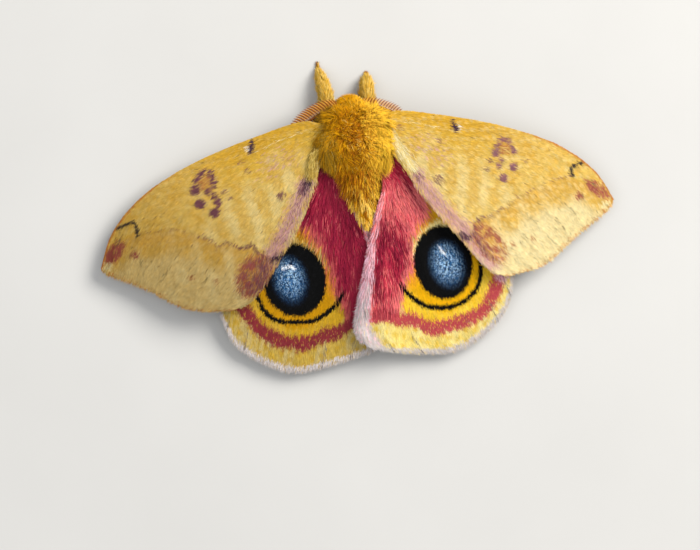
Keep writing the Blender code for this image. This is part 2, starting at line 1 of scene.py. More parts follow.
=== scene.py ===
# Male io moth at rest, life size: skins, scales, fur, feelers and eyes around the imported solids
import math

import bpy
import numpy as np
from mathutils import Matrix, Vector, kdtree


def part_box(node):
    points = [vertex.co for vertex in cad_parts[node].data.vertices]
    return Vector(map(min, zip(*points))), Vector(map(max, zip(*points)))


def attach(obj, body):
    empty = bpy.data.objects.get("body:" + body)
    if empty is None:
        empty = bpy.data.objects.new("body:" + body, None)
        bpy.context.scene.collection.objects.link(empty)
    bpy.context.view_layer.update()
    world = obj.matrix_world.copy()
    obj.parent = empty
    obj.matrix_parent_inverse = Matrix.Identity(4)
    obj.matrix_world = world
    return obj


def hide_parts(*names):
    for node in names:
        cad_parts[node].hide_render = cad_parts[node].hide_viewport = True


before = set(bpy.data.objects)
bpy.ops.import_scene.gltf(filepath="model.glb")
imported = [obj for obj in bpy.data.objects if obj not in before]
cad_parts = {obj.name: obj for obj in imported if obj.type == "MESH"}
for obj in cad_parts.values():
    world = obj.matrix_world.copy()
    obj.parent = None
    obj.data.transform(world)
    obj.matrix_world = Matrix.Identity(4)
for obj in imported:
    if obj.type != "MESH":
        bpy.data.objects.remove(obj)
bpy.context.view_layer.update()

mm = 0.001

# The body's own frame, in mm: head towards -Y, the moth's left towards +X, as in the part's source.
# The left eye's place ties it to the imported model.
bodyFrame = {"midline": -0.5, "eyeOut": 1.6, "eyeBack": -5.15, "eyeHeight": 4.5, "eyeRadius": 0.8}
eyeLow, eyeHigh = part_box("eye_left")
origin = np.array((eyeLow + eyeHigh) / 2) / mm - (bodyFrame["midline"] + bodyFrame["eyeOut"],
                                                  bodyFrame["eyeBack"], bodyFrame["eyeHeight"])
midline = bodyFrame["midline"]
sides = ((1, "Left"), (-1, "Right"))    # the moth's own left and right


# Shared helpers

def toScene(points):
    placed = (np.asarray(points, float) + origin) * mm
    placed[..., 2] = np.maximum(placed[..., 2], 0.0)    # nothing goes below the floor
    return placed


def fade(low, high, value):
    share = np.clip((value - low) / (high - low), 0, 1)
    return share * share * (3 - 2 * share)


def upright(count):
    return np.tile((0.0, 0.0, 1.0), (count, 1))


def bell(value, centre, width):
    return np.exp(-((value - centre) / width) ** 2)


def unit(vectors):
    return vectors / np.maximum(np.linalg.norm(vectors, axis=-1, keepdims=True), 1e-9)


def pathThrough(points):
    # a smooth curve through the points, as a function of 0..1 that runs at an even speed
    knots = np.array(points, float)
    ends = np.vstack([2 * knots[0] - knots[1], knots, 2 * knots[-1] - knots[-2]])
    dense = []
    for i in range(len(knots) - 1):
        a, b, c, d = ends[i:i + 4]
        u = np.linspace(0, 1, 24, endpoint=False)[:, None]
        dense.append(0.5 * (2 * b + (c - a) * u + (2 * a - 5 * b + 4 * c - d) * u ** 2
                            + (3 * b - a - 3 * c + d) * u ** 3))
    dense = np.vstack(dense + [knots[-1:]])
    along = np.concatenate([[0], np.cumsum(np.linalg.norm(np.diff(dense, axis=0), axis=1))])
    along /= along[-1]

    def at(share):
        return np.stack([np.interp(share, along, dense[:, k]) for k in range(dense.shape[1])], axis=-1)
    return at


def heading(curve, share):
    step = 0.02
    return unit(curve(np.minimum(share + step, 1)) - curve(np.maximum(share - step, 0)))


def distanceTo(points, path, steps=60):
    # distance in mm from each point to a smooth path through a few places
    knots = pathThrough(path)(np.linspace(0, 1, steps))
    best = np.full(len(points), 1e9)
    for a, b in zip(knots[:-1], knots[1:]):
        step = b - a
        share = np.clip(((points - a) @ step) / max(step @ step, 1e-12), 0, 1)
        best = np.minimum(best, np.linalg.norm(points - a - share[:, None] * step, axis=1))
    return best


def ripple(points, size, seed):
    # smooth noise of about -1..1 with features of the given size in mm
    draw = np.random.default_rng(seed)
    total = np.zeros(len(points))
    for _ in range(7):
        way = draw.normal(size=points.shape[1])
        way /= np.linalg.norm(way)
        total += np.sin(points @ way * (2 * math.pi / size) * draw.uniform(0.7, 1.4) + draw.uniform(0, 6.3))
    return np.clip(total / 2.6, -1.3, 1.3)


def linear(code):
    channels = [int(code[i:i + 2], 16) / 255 for i in (0, 2, 4)]
    return np.array([c / 12.92 if c <= 0.04045 else ((c + 0.055) / 1.055) ** 2.4 for c in channels])


def addNode(material, kind, values=None, links=None, **settings):
    # one node with its settings, socket values and incoming links
    made = material.node_tree.nodes.new(kind)
    for name, value in settings.items():
        setattr(made, name, value)
    for socket, value in (values or {}).items():
        made.inputs[socket].default_value = value
    for socket, source in (links or {}).items():
        material.node_tree.links.new(source, made.inputs[socket])
    return made


def newMaterial(name):
    made = bpy.data.materials.new(name)
    made.use_nodes = True
    made.node_tree.nodes.clear()
    return made


def fill(target, name, values):
    target.foreach_set(name, np.asarray(values, np.float32).ravel())


def addObject(name, mesh):
    made = bpy.data.objects.new(name, mesh)
    bpy.context.scene.collection.objects.link(made)
    return made


def meshFromArrays(name, points, triangles, colours, places, normals, material):
    # one joined mesh: points in body mm, a colour, a place on the skin's unwrap and a normal for each point
    mesh = bpy.data.meshes.new(name)
    mesh.vertices.add(len(points))
    fill(mesh.vertices, "co", toScene(points))
    corners = triangles.astype(np.int32).ravel()
    mesh.loops.add(len(corners))
    mesh.loops.foreach_set("vertex_index", corners)
    mesh.polygons.add(len(triangles))
    mesh.polygons.foreach_set("loop_start", np.arange(0, len(corners), 3, dtype=np.int32))
    mesh.update(calc_edges=True)
    paintMesh(mesh, colours)
    fill(mesh.uv_layers.new(name="OFBake").uv, "vector", places[corners])
    mesh.materials.append(material)
    mesh.shade_smooth()
    mesh.normals_split_custom_set_from_vertices(normals.astype(np.float32))
    return addObject(name, mesh)


def paintMesh(mesh, colours):
    layer = mesh.color_attributes.new("markings", "FLOAT_COLOR", "POINT")
    fill(layer.data, "color", np.hstack([colours, np.ones((len(colours), 1))]))


def place(piece, slot, *nodes):
    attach(piece, "root")
    if nodes:
        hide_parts(*nodes)
    return piece


def selectOnly(*objects):
    bpy.ops.object.select_all(action="DESELECT")
    for obj in objects:
        obj.select_set(True)
    bpy.context.view_layer.objects.active = objects[0]


def applyModifier(obj, kind, **settings):
    selectOnly(obj)
    bpy.ops.object.modifier_add(type=kind)
    step = obj.modifiers[-1]
    for name, value in settings.items():
        setattr(step, name, value)
    bpy.ops.object.modifier_apply(modifier=step.name)


def editWhole(obj, operator, **settings):
    selectOnly(obj)
    bpy.ops.object.mode_set(mode="EDIT")
    bpy.ops.mesh.select_all(action="SELECT")
    operator(**settings)
    bpy.ops.object.mode_set(mode="OBJECT")


def vertexPlaces(obj):
    found = np.empty(len(obj.data.vertices) * 3, np.float32)
    obj.data.vertices.foreach_get("co", found)
    return found.reshape(-1, 3).astype(float)


# Materials: the colours painted on the mesh, made a little darker and lighter by a fine texture

noise, cells = "ShaderNodeTexNoise", "ShaderNodeTexVoronoi"


def objectTexture(made, kind, size, values=None):
    # noise or cells of the given size in mm
    where = addNode(made, "ShaderNodeTexCoord").outputs["Object"]
    return addNode(made, kind, {"Scale": 1 / (size * mm), **(values or {})}, {"Vector": where})


def spanned(made, source, low, high, ends=(0.3, 0.7)):
    limits = {"From Min": ends[0], "From Max": ends[1], "To Min": low, "To Max": high}
    return addNode(made, "ShaderNodeMapRange", limits, {"Value": source}).outputs["Result"]


def marked(made, source, low, high):
    markings = addNode(made, "ShaderNodeAttribute", attribute_name="markings")
    inputs = {0: markings.outputs["Color"], 1: spanned(made, source, low, high)}
    return addNode(made, "ShaderNodeVectorMath", links=inputs, operation="MULTIPLY").outputs["Vector"]


def twoTone(made, source, dark, light):
    tones = addNode(made, "ShaderNodeValToRGB", links={"Fac": source.outputs["Fac"]})
    for stop, code in zip(tones.color_ramp.elements, (dark, light)):
        stop.color = (*linear(code), 1)
    return tones.outputs["Color"]


def finishMaterial(made, values, links):
    shader = addNode(made, "ShaderNodeBsdfPrincipled", values, links)
    addNode(made, "ShaderNodeOutputMaterial", links={"Surface": shader.outputs["BSDF"]})
    return made


def relief(made, height, strength, depth):
    # depth in mm
    sizes = {"Strength": strength, "Distance": depth * mm}
    return addNode(made, "ShaderNodeBump", sizes, {"Height": height}).outputs["Normal"]


def coatMaterial(name, roughness, sheen, grainSize):
    # Hair and scales are chitin blades with pigment: matt and dry, the hair with the faintest sheen.
    made = newMaterial(name)
    grain = objectTexture(made, noise, grainSize, {"Detail": 3.0, "Roughness": 0.6}).outputs["Fac"]
    return finishMaterial(
        made, {"Sheen Weight": sheen, "Sheen Roughness": 0.45, "Specular IOR Level": 0.05},
        {"Base Color": marked(made, grain, 0.9, 1.1), "Normal": relief(made, grain, 0.25, 0.02),
         "Roughness": spanned(made, grain, roughness - 0.1, roughness + 0.12, (0, 1))})


def membraneMaterial(name):
    # Chitin membrane under its powder of flat scales. Real ones are about 0.1 mm wide and 0.2 mm long; the
    # cells are coarser, about 0.2 mm by 0.6 mm, so that they show.
    made = newMaterial(name)
    plan = addNode(made, "ShaderNodeUVMap", uv_map="OFBake").outputs["UV"]
    rows = addNode(made, "ShaderNodeMapping", {"Scale": (240, 60, 1)}, {"Vector": plan}).outputs["Vector"]
    scales = addNode(made, cells, {"Scale": 1.0, "Randomness": 0.8}, {"Vector": rows})
    powder = addNode(made, noise, {"Scale": 2.0, "Detail": 4.0}, {"Vector": rows})
    return finishMaterial(
        made, {"Roughness": 0.7, "Sheen Weight": 0.03, "Sheen Roughness": 0.5, "Specular IOR Level": 0.1},
        {"Base Color": marked(made, powder.outputs["Fac"], 0.75, 1.15),
         "Normal": relief(made, scales.outputs["Distance"], 0.6, 0.04)})


def hornMaterial(name, roughness, coat):
    # Bare cuticle of feelers and claws: tanned chitin, smooth and a little waxy.
    made = newMaterial(name)
    mottle = objectTexture(made, noise, 0.3, {"Detail": 4.0}).outputs["Fac"]
    wax = {"Roughness": roughness, "Coat Weight": coat, "Coat Roughness": 0.2, "Specular IOR Level": 0.2}
    return finishMaterial(made, wax, {"Base Color": marked(made, mottle, 0.8, 1.15),
                                      "Normal": relief(made, mottle, 0.3, 0.02)})


def eyeMaterial():
    # Compound eye: clear lens facets over dark brown pigment, glossy like wet glass. The facets are drawn at
    # 0.05 mm, twice their real size, so that they show.
    made = newMaterial("compoundEye")
    facets = objectTexture(made, cells, 0.05)
    pigment = objectTexture(made, noise, 0.6)
    return finishMaterial(made, {"Roughness": 0.16, "Coat Weight": 0.7, "Coat Roughness": 0.06},
                          {"Base Color": twoTone(made, pigment, "120A08", "3A2113"),
                           "Normal": relief(made, facets.outputs["Distance"], 0.5, 0.01)})


def floorMaterial():
    # Matt painted studio floor with a barely uneven tone.
    made = newMaterial("paleFloor")
    tone = objectTexture(made, noise, 25.0, {"Detail": 5.0})
    paint = twoTone(made, tone, "B9B7B3", "C2C0BC")
    return finishMaterial(made, {"Roughness": 0.8}, {"Base Color": paint})


wingScales = coatMaterial("powderScales", 0.66, 0.0, 0.6)
wingHair = coatMaterial("wingHair", 0.6, 0.02, 0.4)
bodyHair = coatMaterial("bodyHair", 0.6, 0.02, 0.4)
membrane = membraneMaterial("scaledMembrane")
skinChitin = coatMaterial("bodyCuticle", 0.7, 0.1, 0.3)
feelerHorn = hornMaterial("feelerCuticle", 0.5, 0.0)
clawHorn = hornMaterial("clawCuticle", 0.3, 0.4)
eyeGloss = eyeMaterial()


# Tufts: each is a closed blade with a root point, rings of three points and a tip

def unrollTo(surface, u, v):
    # points, outward normals, the lie (towards larger v) and how much skin each pair of shares covers
    reach = 0.002
    here, outward = surface(u, v)
    alongU = surface(u + reach, v)[0] - surface(u - reach, v)[0]
    alongV = surface(u, v + reach)[0] - surface(u, v - reach)[0]
    cross = np.cross(alongU, alongV)
    cover = np.linalg.norm(cross, axis=1) / (4 * reach * reach)
    normal = unit(cross)
    normal *= np.sign((normal * outward).sum(axis=1))[:, None]
    return here, normal, unit(alongV), cover


def scatter(surface, count, seed, thin=None):
    # evenly spread roots: a quasi-random net over the skin's unwrap, thinned where it covers less skin
    tries = np.arange(4 * count) + 0.5 + seed * 97
    u = (tries * 0.7548776662466927) % 1
    v = (tries * 0.5698402909980532) % 1
    cover = unrollTo(surface, u, v)[3]
    want = cover / np.percentile(cover, 99)
    if thin is not None:
        want = want * thin(u, v)
    draw = np.random.default_rng(seed)
    kept = np.flatnonzero(draw.random(len(u)) < want * count / max(want.sum(), 1e-9))
    return u[kept], v[kept]


def turned(lie, normal, angle):
    return lie * np.cos(angle)[:, None] + np.cross(normal, lie) * np.sin(angle)[:, None]


def bendTufts(roots, normal, lie, length, lift, fall=0.0, sink=0.05):
    # start, middle and end of each tuft: out of the skin, over, and down again with the skin's own curve
    length, lift = length[:, None], lift[:, None]
    start = roots - normal * sink
    middle = roots + lie * length * 0.45 + normal * lift * 0.85
    end = roots + lie * length * 0.97 + normal * (lift - fall * length ** 2)
    return start, middle, end


def cut(look, draw, count, **spans):
    # each tuft's own share of the look's length, width or lift
    return [look[name] * draw.uniform(*span, count) for name, span in spans.items()]


def clump(curve, spacing, pull, seed):
    # neighbouring tips lean together into small locks
    start, middle, end = curve
    draw = np.random.default_rng(seed)
    area = max(1, int(len(start) * spacing))
    heads = draw.choice(len(start), area, replace=False)
    tree = kdtree.KDTree(len(heads))
    for i, head in enumerate(heads):
        tree.insert(middle[head], i)
    tree.balance()
    near = heads[[tree.find(point)[1] for point in middle]]
    share = (pull * draw.uniform(0.1, 1.3, len(start)))[:, None]
    return start, middle + (middle[near] - middle) * share * 0.35, end + (end[near] - end) * share


def growTufts(name, slot, curve, up, width, colours, shades, places, material, rings=(0.4,), flatness=0.45,
              softness=0.5):
    # shades darken the root and lighten the tip, as painted shade and light among the blades, and softness
    # leans each blade's normals towards the skin's
    start, middle, end = curve
    rootColour, tipColour = colours * shades[0], np.clip(colours * shades[1], 0, 1)
    count, wide = len(start), 3 * len(rings) + 2
    points = np.empty((count, wide, 3))
    ringColours = np.empty((count, wide, 3))
    normals = np.repeat(up[:, None, :], wide, axis=1)
    spots = np.repeat(places[:, None, :], wide, axis=1)
    points[:, 0], points[:, -1] = start, end
    ringColours[:, 0], ringColours[:, -1] = rootColour, tipColour
    spots[:, 0, 1] -= patchSize / 2
    spots[:, -1, 1] += patchSize / 2
    for r, share in enumerate(rings):
        here = (1 - share) ** 2 * start + 2 * share * (1 - share) * middle + share ** 2 * end
        forward = unit((1 - share) * (middle - start) + share * (end - middle))
        across = unit(np.cross(forward, up))
        above = np.cross(across, forward)
        profile = min(1.0, 0.55 + 1.5 * share) * (1 - share ** 3)
        half = (0.5 * width * profile)[:, None]
        points[:, 3 * r + 1] = here - across * half
        points[:, 3 * r + 2] = here + above * half * flatness * 2
        points[:, 3 * r + 3] = here + across * half
        for k, facing in enumerate((-across, above, across)):
            normals[:, 3 * r + 1 + k] = unit(up * softness + facing * (1 - softness))
        ringColours[:, 3 * r + 1:3 * r + 4] = (rootColour + (tipColour - rootColour) * share)[:, None, :]
        for k, aside in enumerate((-0.5, 0.0, 0.5)):
            spots[:, 3 * r + 1 + k] += (aside * patchSize, (share - 0.5) * patchSize)
    faces = []
    for k in range(3):
        after = (k + 1) % 3
        faces.append((0, 1 + after, 1 + k))
        for r in range(len(rings) - 1):
            a, b = 1 + 3 * r + k, 1 + 3 * r + after
            faces += [(a, b, b + 3), (a, b + 3, a + 3)]
        last = 1 + 3 * (len(rings) - 1)
        faces.append((last + k, last + after, wide - 1))
    triangles = (np.array(faces)[None] + wide * np.arange(count)[:, None, None]).reshape(-1, 3)
    made = meshFromArrays(name, points.reshape(-1, 3), triangles, ringColours.reshape(-1, 3),
                          spots.reshape(-1, 2), normals.reshape(-1, 3), material)
    print(f"{name}: {count} tufts, {len(triangles)} triangles")
    place(made, slot)


patchSize = 0.003    # each tuft's patch on the unwrap


# Painting: layers of colour, each through a mask of 0..1

def blob(points, centre, halfSize, turn=0.0, soft=0.35):
    away = points - centre
    c, s = math.cos(math.radians(turn)), math.sin(math.radians(turn))
    x = (away[:, 0] * c + away[:, 1] * s) / halfSize[0]
    y = (-away[:, 0] * s + away[:, 1] * c) / halfSize[1]
    return fade(1 + soft, 1 - soft, np.hypot(x, y))


def stroke(points, path, width, soft=0.5):
    half = width / 2
    return fade(half * (1 + soft), half * (1 - soft), distanceTo(points, path))


def paintBox(ink, base, count, draw):
    # wash mixes smoothly; dab, with a draw, gives each tuft one colour or the other, as real scales do
    colours = np.tile(linear(ink[base]), (count, 1))

    def wash(name, mask):
        colours[:] += (linear(ink[name]) - colours) * np.clip(mask, 0, 1)[:, None]

    def dab(name, mask):
        mask = np.clip(mask, 0, 1)
        if draw is not None:
            picked = (draw.random(len(mask)) < mask).astype(float)
            mask = 0.7 * picked + 0.3 * mask
        wash(name, mask)
    return colours, wash, dab


def vary(colours, draw, value=0.1, hue=0.04):
    # each tuft a little lighter or darker and a little redder or yellower than the next
    if draw is None:
        return colours
    shade = draw.normal(1, value, len(colours))[:, None]
    warm = draw.normal(0, hue, len(colours))[:, None] * (1.0, 0.0, -1.6)
    return np.clip(colours * shade * (1 + warm), 0.002, 0.98)


# Wings: (outward, rearward) places in mm seen from above, the same outlines as in the part's source

wingShape = {
    "foreCosta": [(3.2, -2.6), (6.5, -3.4), (12.2, -2.3), (17.8, -0.9), (23.3, 1.0), (28.4, 3.7),
                  (32.4, 7.6), (34.5, 12.4)],
    "foreMargin": [(34.5, 12.4), (33.7, 13.5), (28.9, 16.4), (24.1, 19.4), (18.4, 20.2)],
    "foreInner": [(3.4, 0.2), (5.4, 3.0), (8.5, 9.0), (12.5, 14.6), (15.6, 18.6), (18.4, 20.2)],
    "foreInnerShift": {1: -0.85, -1: 0.6},
    "apexReach": {1: (0.4, 0.3), -1: (0.85, -0.5)},    # each tip reaches a little past the solid's
    "hindCosta": [(2.9, 0.0), (8.0, 3.2), (13.6, 8.6), (18.2, 14.4), (20.0, 20.2)],
    "hindMargin": [(20.0, 20.2), (18.4, 24.6), (15.0, 27.6), (10.9, 29.3), (6.5, 29.0), (2.2, 28.2)],
    "hindInner": {
        1: [(2.7, 3.0), (2.0, 5.8), (0.6, 8.7), (-0.6, 12.6), (-1.2, 18.0), (-0.9, 24.0), (0.0, 27.6)],
        -1: [(2.7, 3.0), (3.6, 6.0), (2.3, 9.2), (0.5, 14.3), (-1.6, 20.8), (-2.4, 24.6), (-1.2, 27.2)]},
    "foreVeins": (0.07, 0.18, 0.3, 0.42, 0.53, 0.65, 0.77, 0.9),
    "hindVeins": (0.1, 0.25, 0.4, 0.55, 0.7, 0.86),
    "foreRoot": 7.3, "foreSlope": 0.17,
    "hindRoot": 6.0, "hindSlopeOut": 0.055, "hindSlopeBack": 0.125,
    "tent": 1.15, "tentWidth": 3.0, "overlapLift": 0.95,
    "veinRidge": 0.04, "pleat": 0.12, "membrane": 0.2,
    "fringe": 0.018,    # share of the wing's length that is fringe only
    "rollHeight": 0.45, "rollPlace": 0.5, "rollWidth": 0.75,
    "creaseDepth": 0.4, "creasePlace": 2.4, "creaseWidth": 0.8,
    "grid": {"fore": (110, 96), "hind": (90, 90)},    # faces along and across each skin
}
wingReach = 1 - wingShape["fringe"]


def wingPlan(kind, side):
    if kind == "fore":
        shift = wingShape["foreInnerShift"][side]
        last = len(wingShape["foreInner"]) - 1
        inner = [(x + shift * math.sin(math.pi * i / last), y)
                 for i, (x, y) in enumerate(wingShape["foreInner"])]
        costa, margin = list(wingShape["foreCosta"]), list(wingShape["foreMargin"])
        for line, shares in ((costa, (0, 0, 0, 0, 0, 0.25, 0.6, 1)), (margin, (1, 0.7, 0, 0, 0))):
            for i, share in enumerate(shares):
                line[i] = tuple(np.array(line[i]) + share * np.array(wingShape["apexReach"][side]))
    else:
        inner = wingShape["hindInner"][side]
        costa, margin = wingShape["hindCosta"], wingShape["hindMargin"] + [inner[-1]]
    costaAt, marginAt, innerAt = pathThrough(costa), pathThrough(margin), pathThrough(inner)
    root, farRoot, apex, tornus = costaAt(0), innerAt(0), costaAt(1), innerAt(1)

    def plan(s, t):
        s, t = s[:, None], t[:, None]
        edges = (1 - t) * costaAt(s[:, 0]) + t * innerAt(s[:, 0]) + s * marginAt(t[:, 0])
        edges += (1 - s) * (root + (farRoot - root) * t)
        return edges - (1 - s) * ((1 - t) * root + t * farRoot) - s * ((1 - t) * apex + t * tornus)
    return plan, inner


def wingHeight(kind, side, q):
    out, back = q[:, 0], q[:, 1]
    if kind == "fore":
        return wingShape["foreRoot"] - wingShape["foreSlope"] * (np.abs(out) - 4)
    across = side * out - midline
    plane = wingShape["hindRoot"] - wingShape["hindSlopeBack"] * (back - 2)
    plane -= wingShape["hindSlopeOut"] * np.abs(across)
    tent = wingShape["tent"] * bell(across, 0.0, wingShape["tentWidth"])
    tent *= fade(2, 6, back) * (1 - 0.75 * fade(19, 28, back))
    lift = 0.0
    if side < 0:
        lift = wingShape["overlapLift"] * fade(5.0, 1.8, out) * fade(3, 9, back)
    return plane + tent + lift


def veinNearness(kind, t, wide):
    # 1 on a vein's crest, 0 away from it, and where between two veins each place is
    veins = np.array((0.0, *wingShape[kind + "Veins"], 1.0))
    gap = np.abs(t[:, None] - veins[None])
    crest = bell(gap[:, 1:-1].min(axis=1), 0.0, wide)
    cell = np.clip(np.searchsorted(veins, t, side="right") - 1, 0, len(veins) - 2)
    between = (t - veins[cell]) / (veins[cell + 1] - veins[cell])
    return crest, np.sin(math.pi * np.clip(between, 0, 1))


def wingSurface(kind, side, face):
    # u runs from the costa to the inner margin, v from the root to the outer margin
    plan, inner = wingPlan(kind, side)

    def surface(u, v):
        t = np.clip(u, 0.0, 1.0) * 0.996 + 0.002
        s = np.clip(v, 0.0, 1.0) * wingReach
        q = plan(s, t)
        crest, belly = veinNearness(kind, t, 0.016)
        z = wingHeight(kind, side, q)
        z = z + wingShape["veinRidge"] * crest * (1 - 0.6 * s) * fade(0.03, 0.25, s)
        z = z - wingShape["pleat"] * belly * fade(0.25, 0.95, s)
        if kind == "hind" and side < 0:    # the inner edge rolled up, with a crease beside it
            fromEdge = distanceTo(q, inner, 30)
            roll = bell(fromEdge, wingShape["rollPlace"], wingShape["rollWidth"])
            crease = bell(fromEdge, wingShape["creasePlace"], wingShape["creaseWidth"])
            z = z + wingShape["rollHeight"] * fade(0.12, 0.3, s) * roll
            z = z - wingShape["creaseDepth"] * fade(0.2, 0.45, s) * fade(0.9, 0.7, s) * crease
        z = z + face * wingShape["membrane"] / 2
        return np.column_stack([side * q[:, 0], q[:, 1], z]), np.tile((0.0, 0.0, face), (len(q), 1))
    return surface, plan


# Marks on the forewings: places in mm (outward, rearward) on each wing, read off the moth

foreMarks = {
    1: {
        "post": [(29.4, 8.6), (27.6, 8.4), (24.8, 8.4), (22.4, 9.4), (20.8, 10.1), (20.0, 10.7),
                 (19.1, 11.6), (17.9, 11.2), (16.8, 11.9), (15.7, 12.2), (14.8, 11.9), (14.0, 13.0),
                 (12.9, 14.0), (11.5, 14.1)],
        "dash": [(13.1, -1.6), (13.4, -0.4)], "dashWhite": [(13.9, -1.0), (13.8, -0.6)],
        "arch": [(21.2, 4.0), (20.9, 2.5), (20.3, 1.7), (19.5, 1.5), (18.8, 2.0), (18.7, 3.5)],
        "interior": (19.9, 2.9), "lobe": (21.2, 3.8), "chain": [(19.6, 4.1), (18.8, 4.9), (18.4, 5.9)],
        "spots": [(20.8, 5.6), (19.1, 7.0)], "specks": [(17.6, 4.4), (16.8, 5.4), (15.0, 0.9), (14.2, 2.2)],
        "basal": [(7.2, 4.7), (7.7, 6.3)], "spot": (10.2, 6.0), "blush": (10.0, 1.6),
        "hook": [(31.9, 7.4), (31.1, 7.1), (30.3, 6.9), (29.7, 6.9), (29.4, 7.8), (29.5, 8.6)],
        "tornal": ((15.1, 16.0), (2.7, 2.0), 59),
        "apical": ((32.7, 10.5), (1.8, 0.95), 45), "apicalSpot": (30.1, 11.1), "apicalDash": (29.5, 12.3),
        "far": [(23.1, 15.1), (20.0, 16.0)],
        "lilac": [(6.8, 5.1), (8.2, 7.4), (9.4, 9.5), (10.7, 11.5), (12.1, 13.2), (13.2, 15.0)],
        "cream": [(4.4, 1.2), (5.4, 3.0)],
    },
    -1: {
        "post": [(29.4, 7.7), (28.2, 7.8), (25.8, 8.4), (22.9, 9.3), (21.2, 10.0), (20.1, 11.0),
                 (19.1, 11.0), (18.0, 11.6), (17.2, 12.1), (16.2, 11.9), (15.2, 12.6), (14.9, 13.6),
                 (14.1, 14.3), (13.2, 14.3)],
        "dash": [(13.9, -1.2), (14.2, 0.0)], "dashWhite": [(14.7, -0.6), (14.7, -0.2)],
        "arch": [(19.3, 3.6), (19.7, 2.6), (20.2, 1.9), (20.9, 1.9), (21.4, 2.3), (21.7, 3.0), (21.9, 3.8)],
        "interior": (20.6, 2.9), "lobe": (19.3, 3.6), "chain": [(20.0, 4.7), (19.6, 5.1), (19.4, 5.4)],
        "spots": [(21.5, 5.7), (19.9, 7.0)], "specks": [(23.4, 5.1), (18.3, 4.6), (17.8, 5.6), (11.7, 1.3)],
        "basal": [(6.4, -1.2), (6.5, -0.6)], "spot": (11.0, 6.3), "blush": (10.4, 2.2),
        "hook": [(31.5, 6.1), (30.8, 6.2), (30.0, 6.5), (29.6, 7.0), (29.7, 7.7)],
        "tornal": ((16.8, 15.5), (2.9, 1.7), 59),
        "apical": ((33.0, 9.95), (2.0, 0.85), 38), "apicalSpot": (30.3, 10.6), "apicalDash": (21.2, 15.8),
        "far": [(22.9, 15.6), (20.0, 16.0)],
        "lilac": [(8.1, 5.5), (9.1, 7.4), (10.1, 9.1), (11.4, 10.8), (12.6, 12.2), (13.7, 13.5),
                  (14.6, 15.3), (15.7, 17.2), (16.8, 18.4)],
        "cream": [(5.2, -0.4), (6.2, 1.9), (7.0, 3.5), (7.7, 4.9)],
    },
}
foreInk = {
    "gold": "D9AD40", "deepGold": "D09C28", "pale": "DFBE6C", "cream": "F1DFA6", "ochre": "D5AA4E",
    "outer": "E6D29A", "purple": "74474F", "dusky": "8C5F62", "darkPurple": "463040", "maroon": "A04E48",
    "brown": "A8623C", "orange": "CF9440", "lilac": "CC9A96", "ash": "86764F", "hook": "3B3432",
    "rust": "C07A3A", "white": "F0E8DA",
}


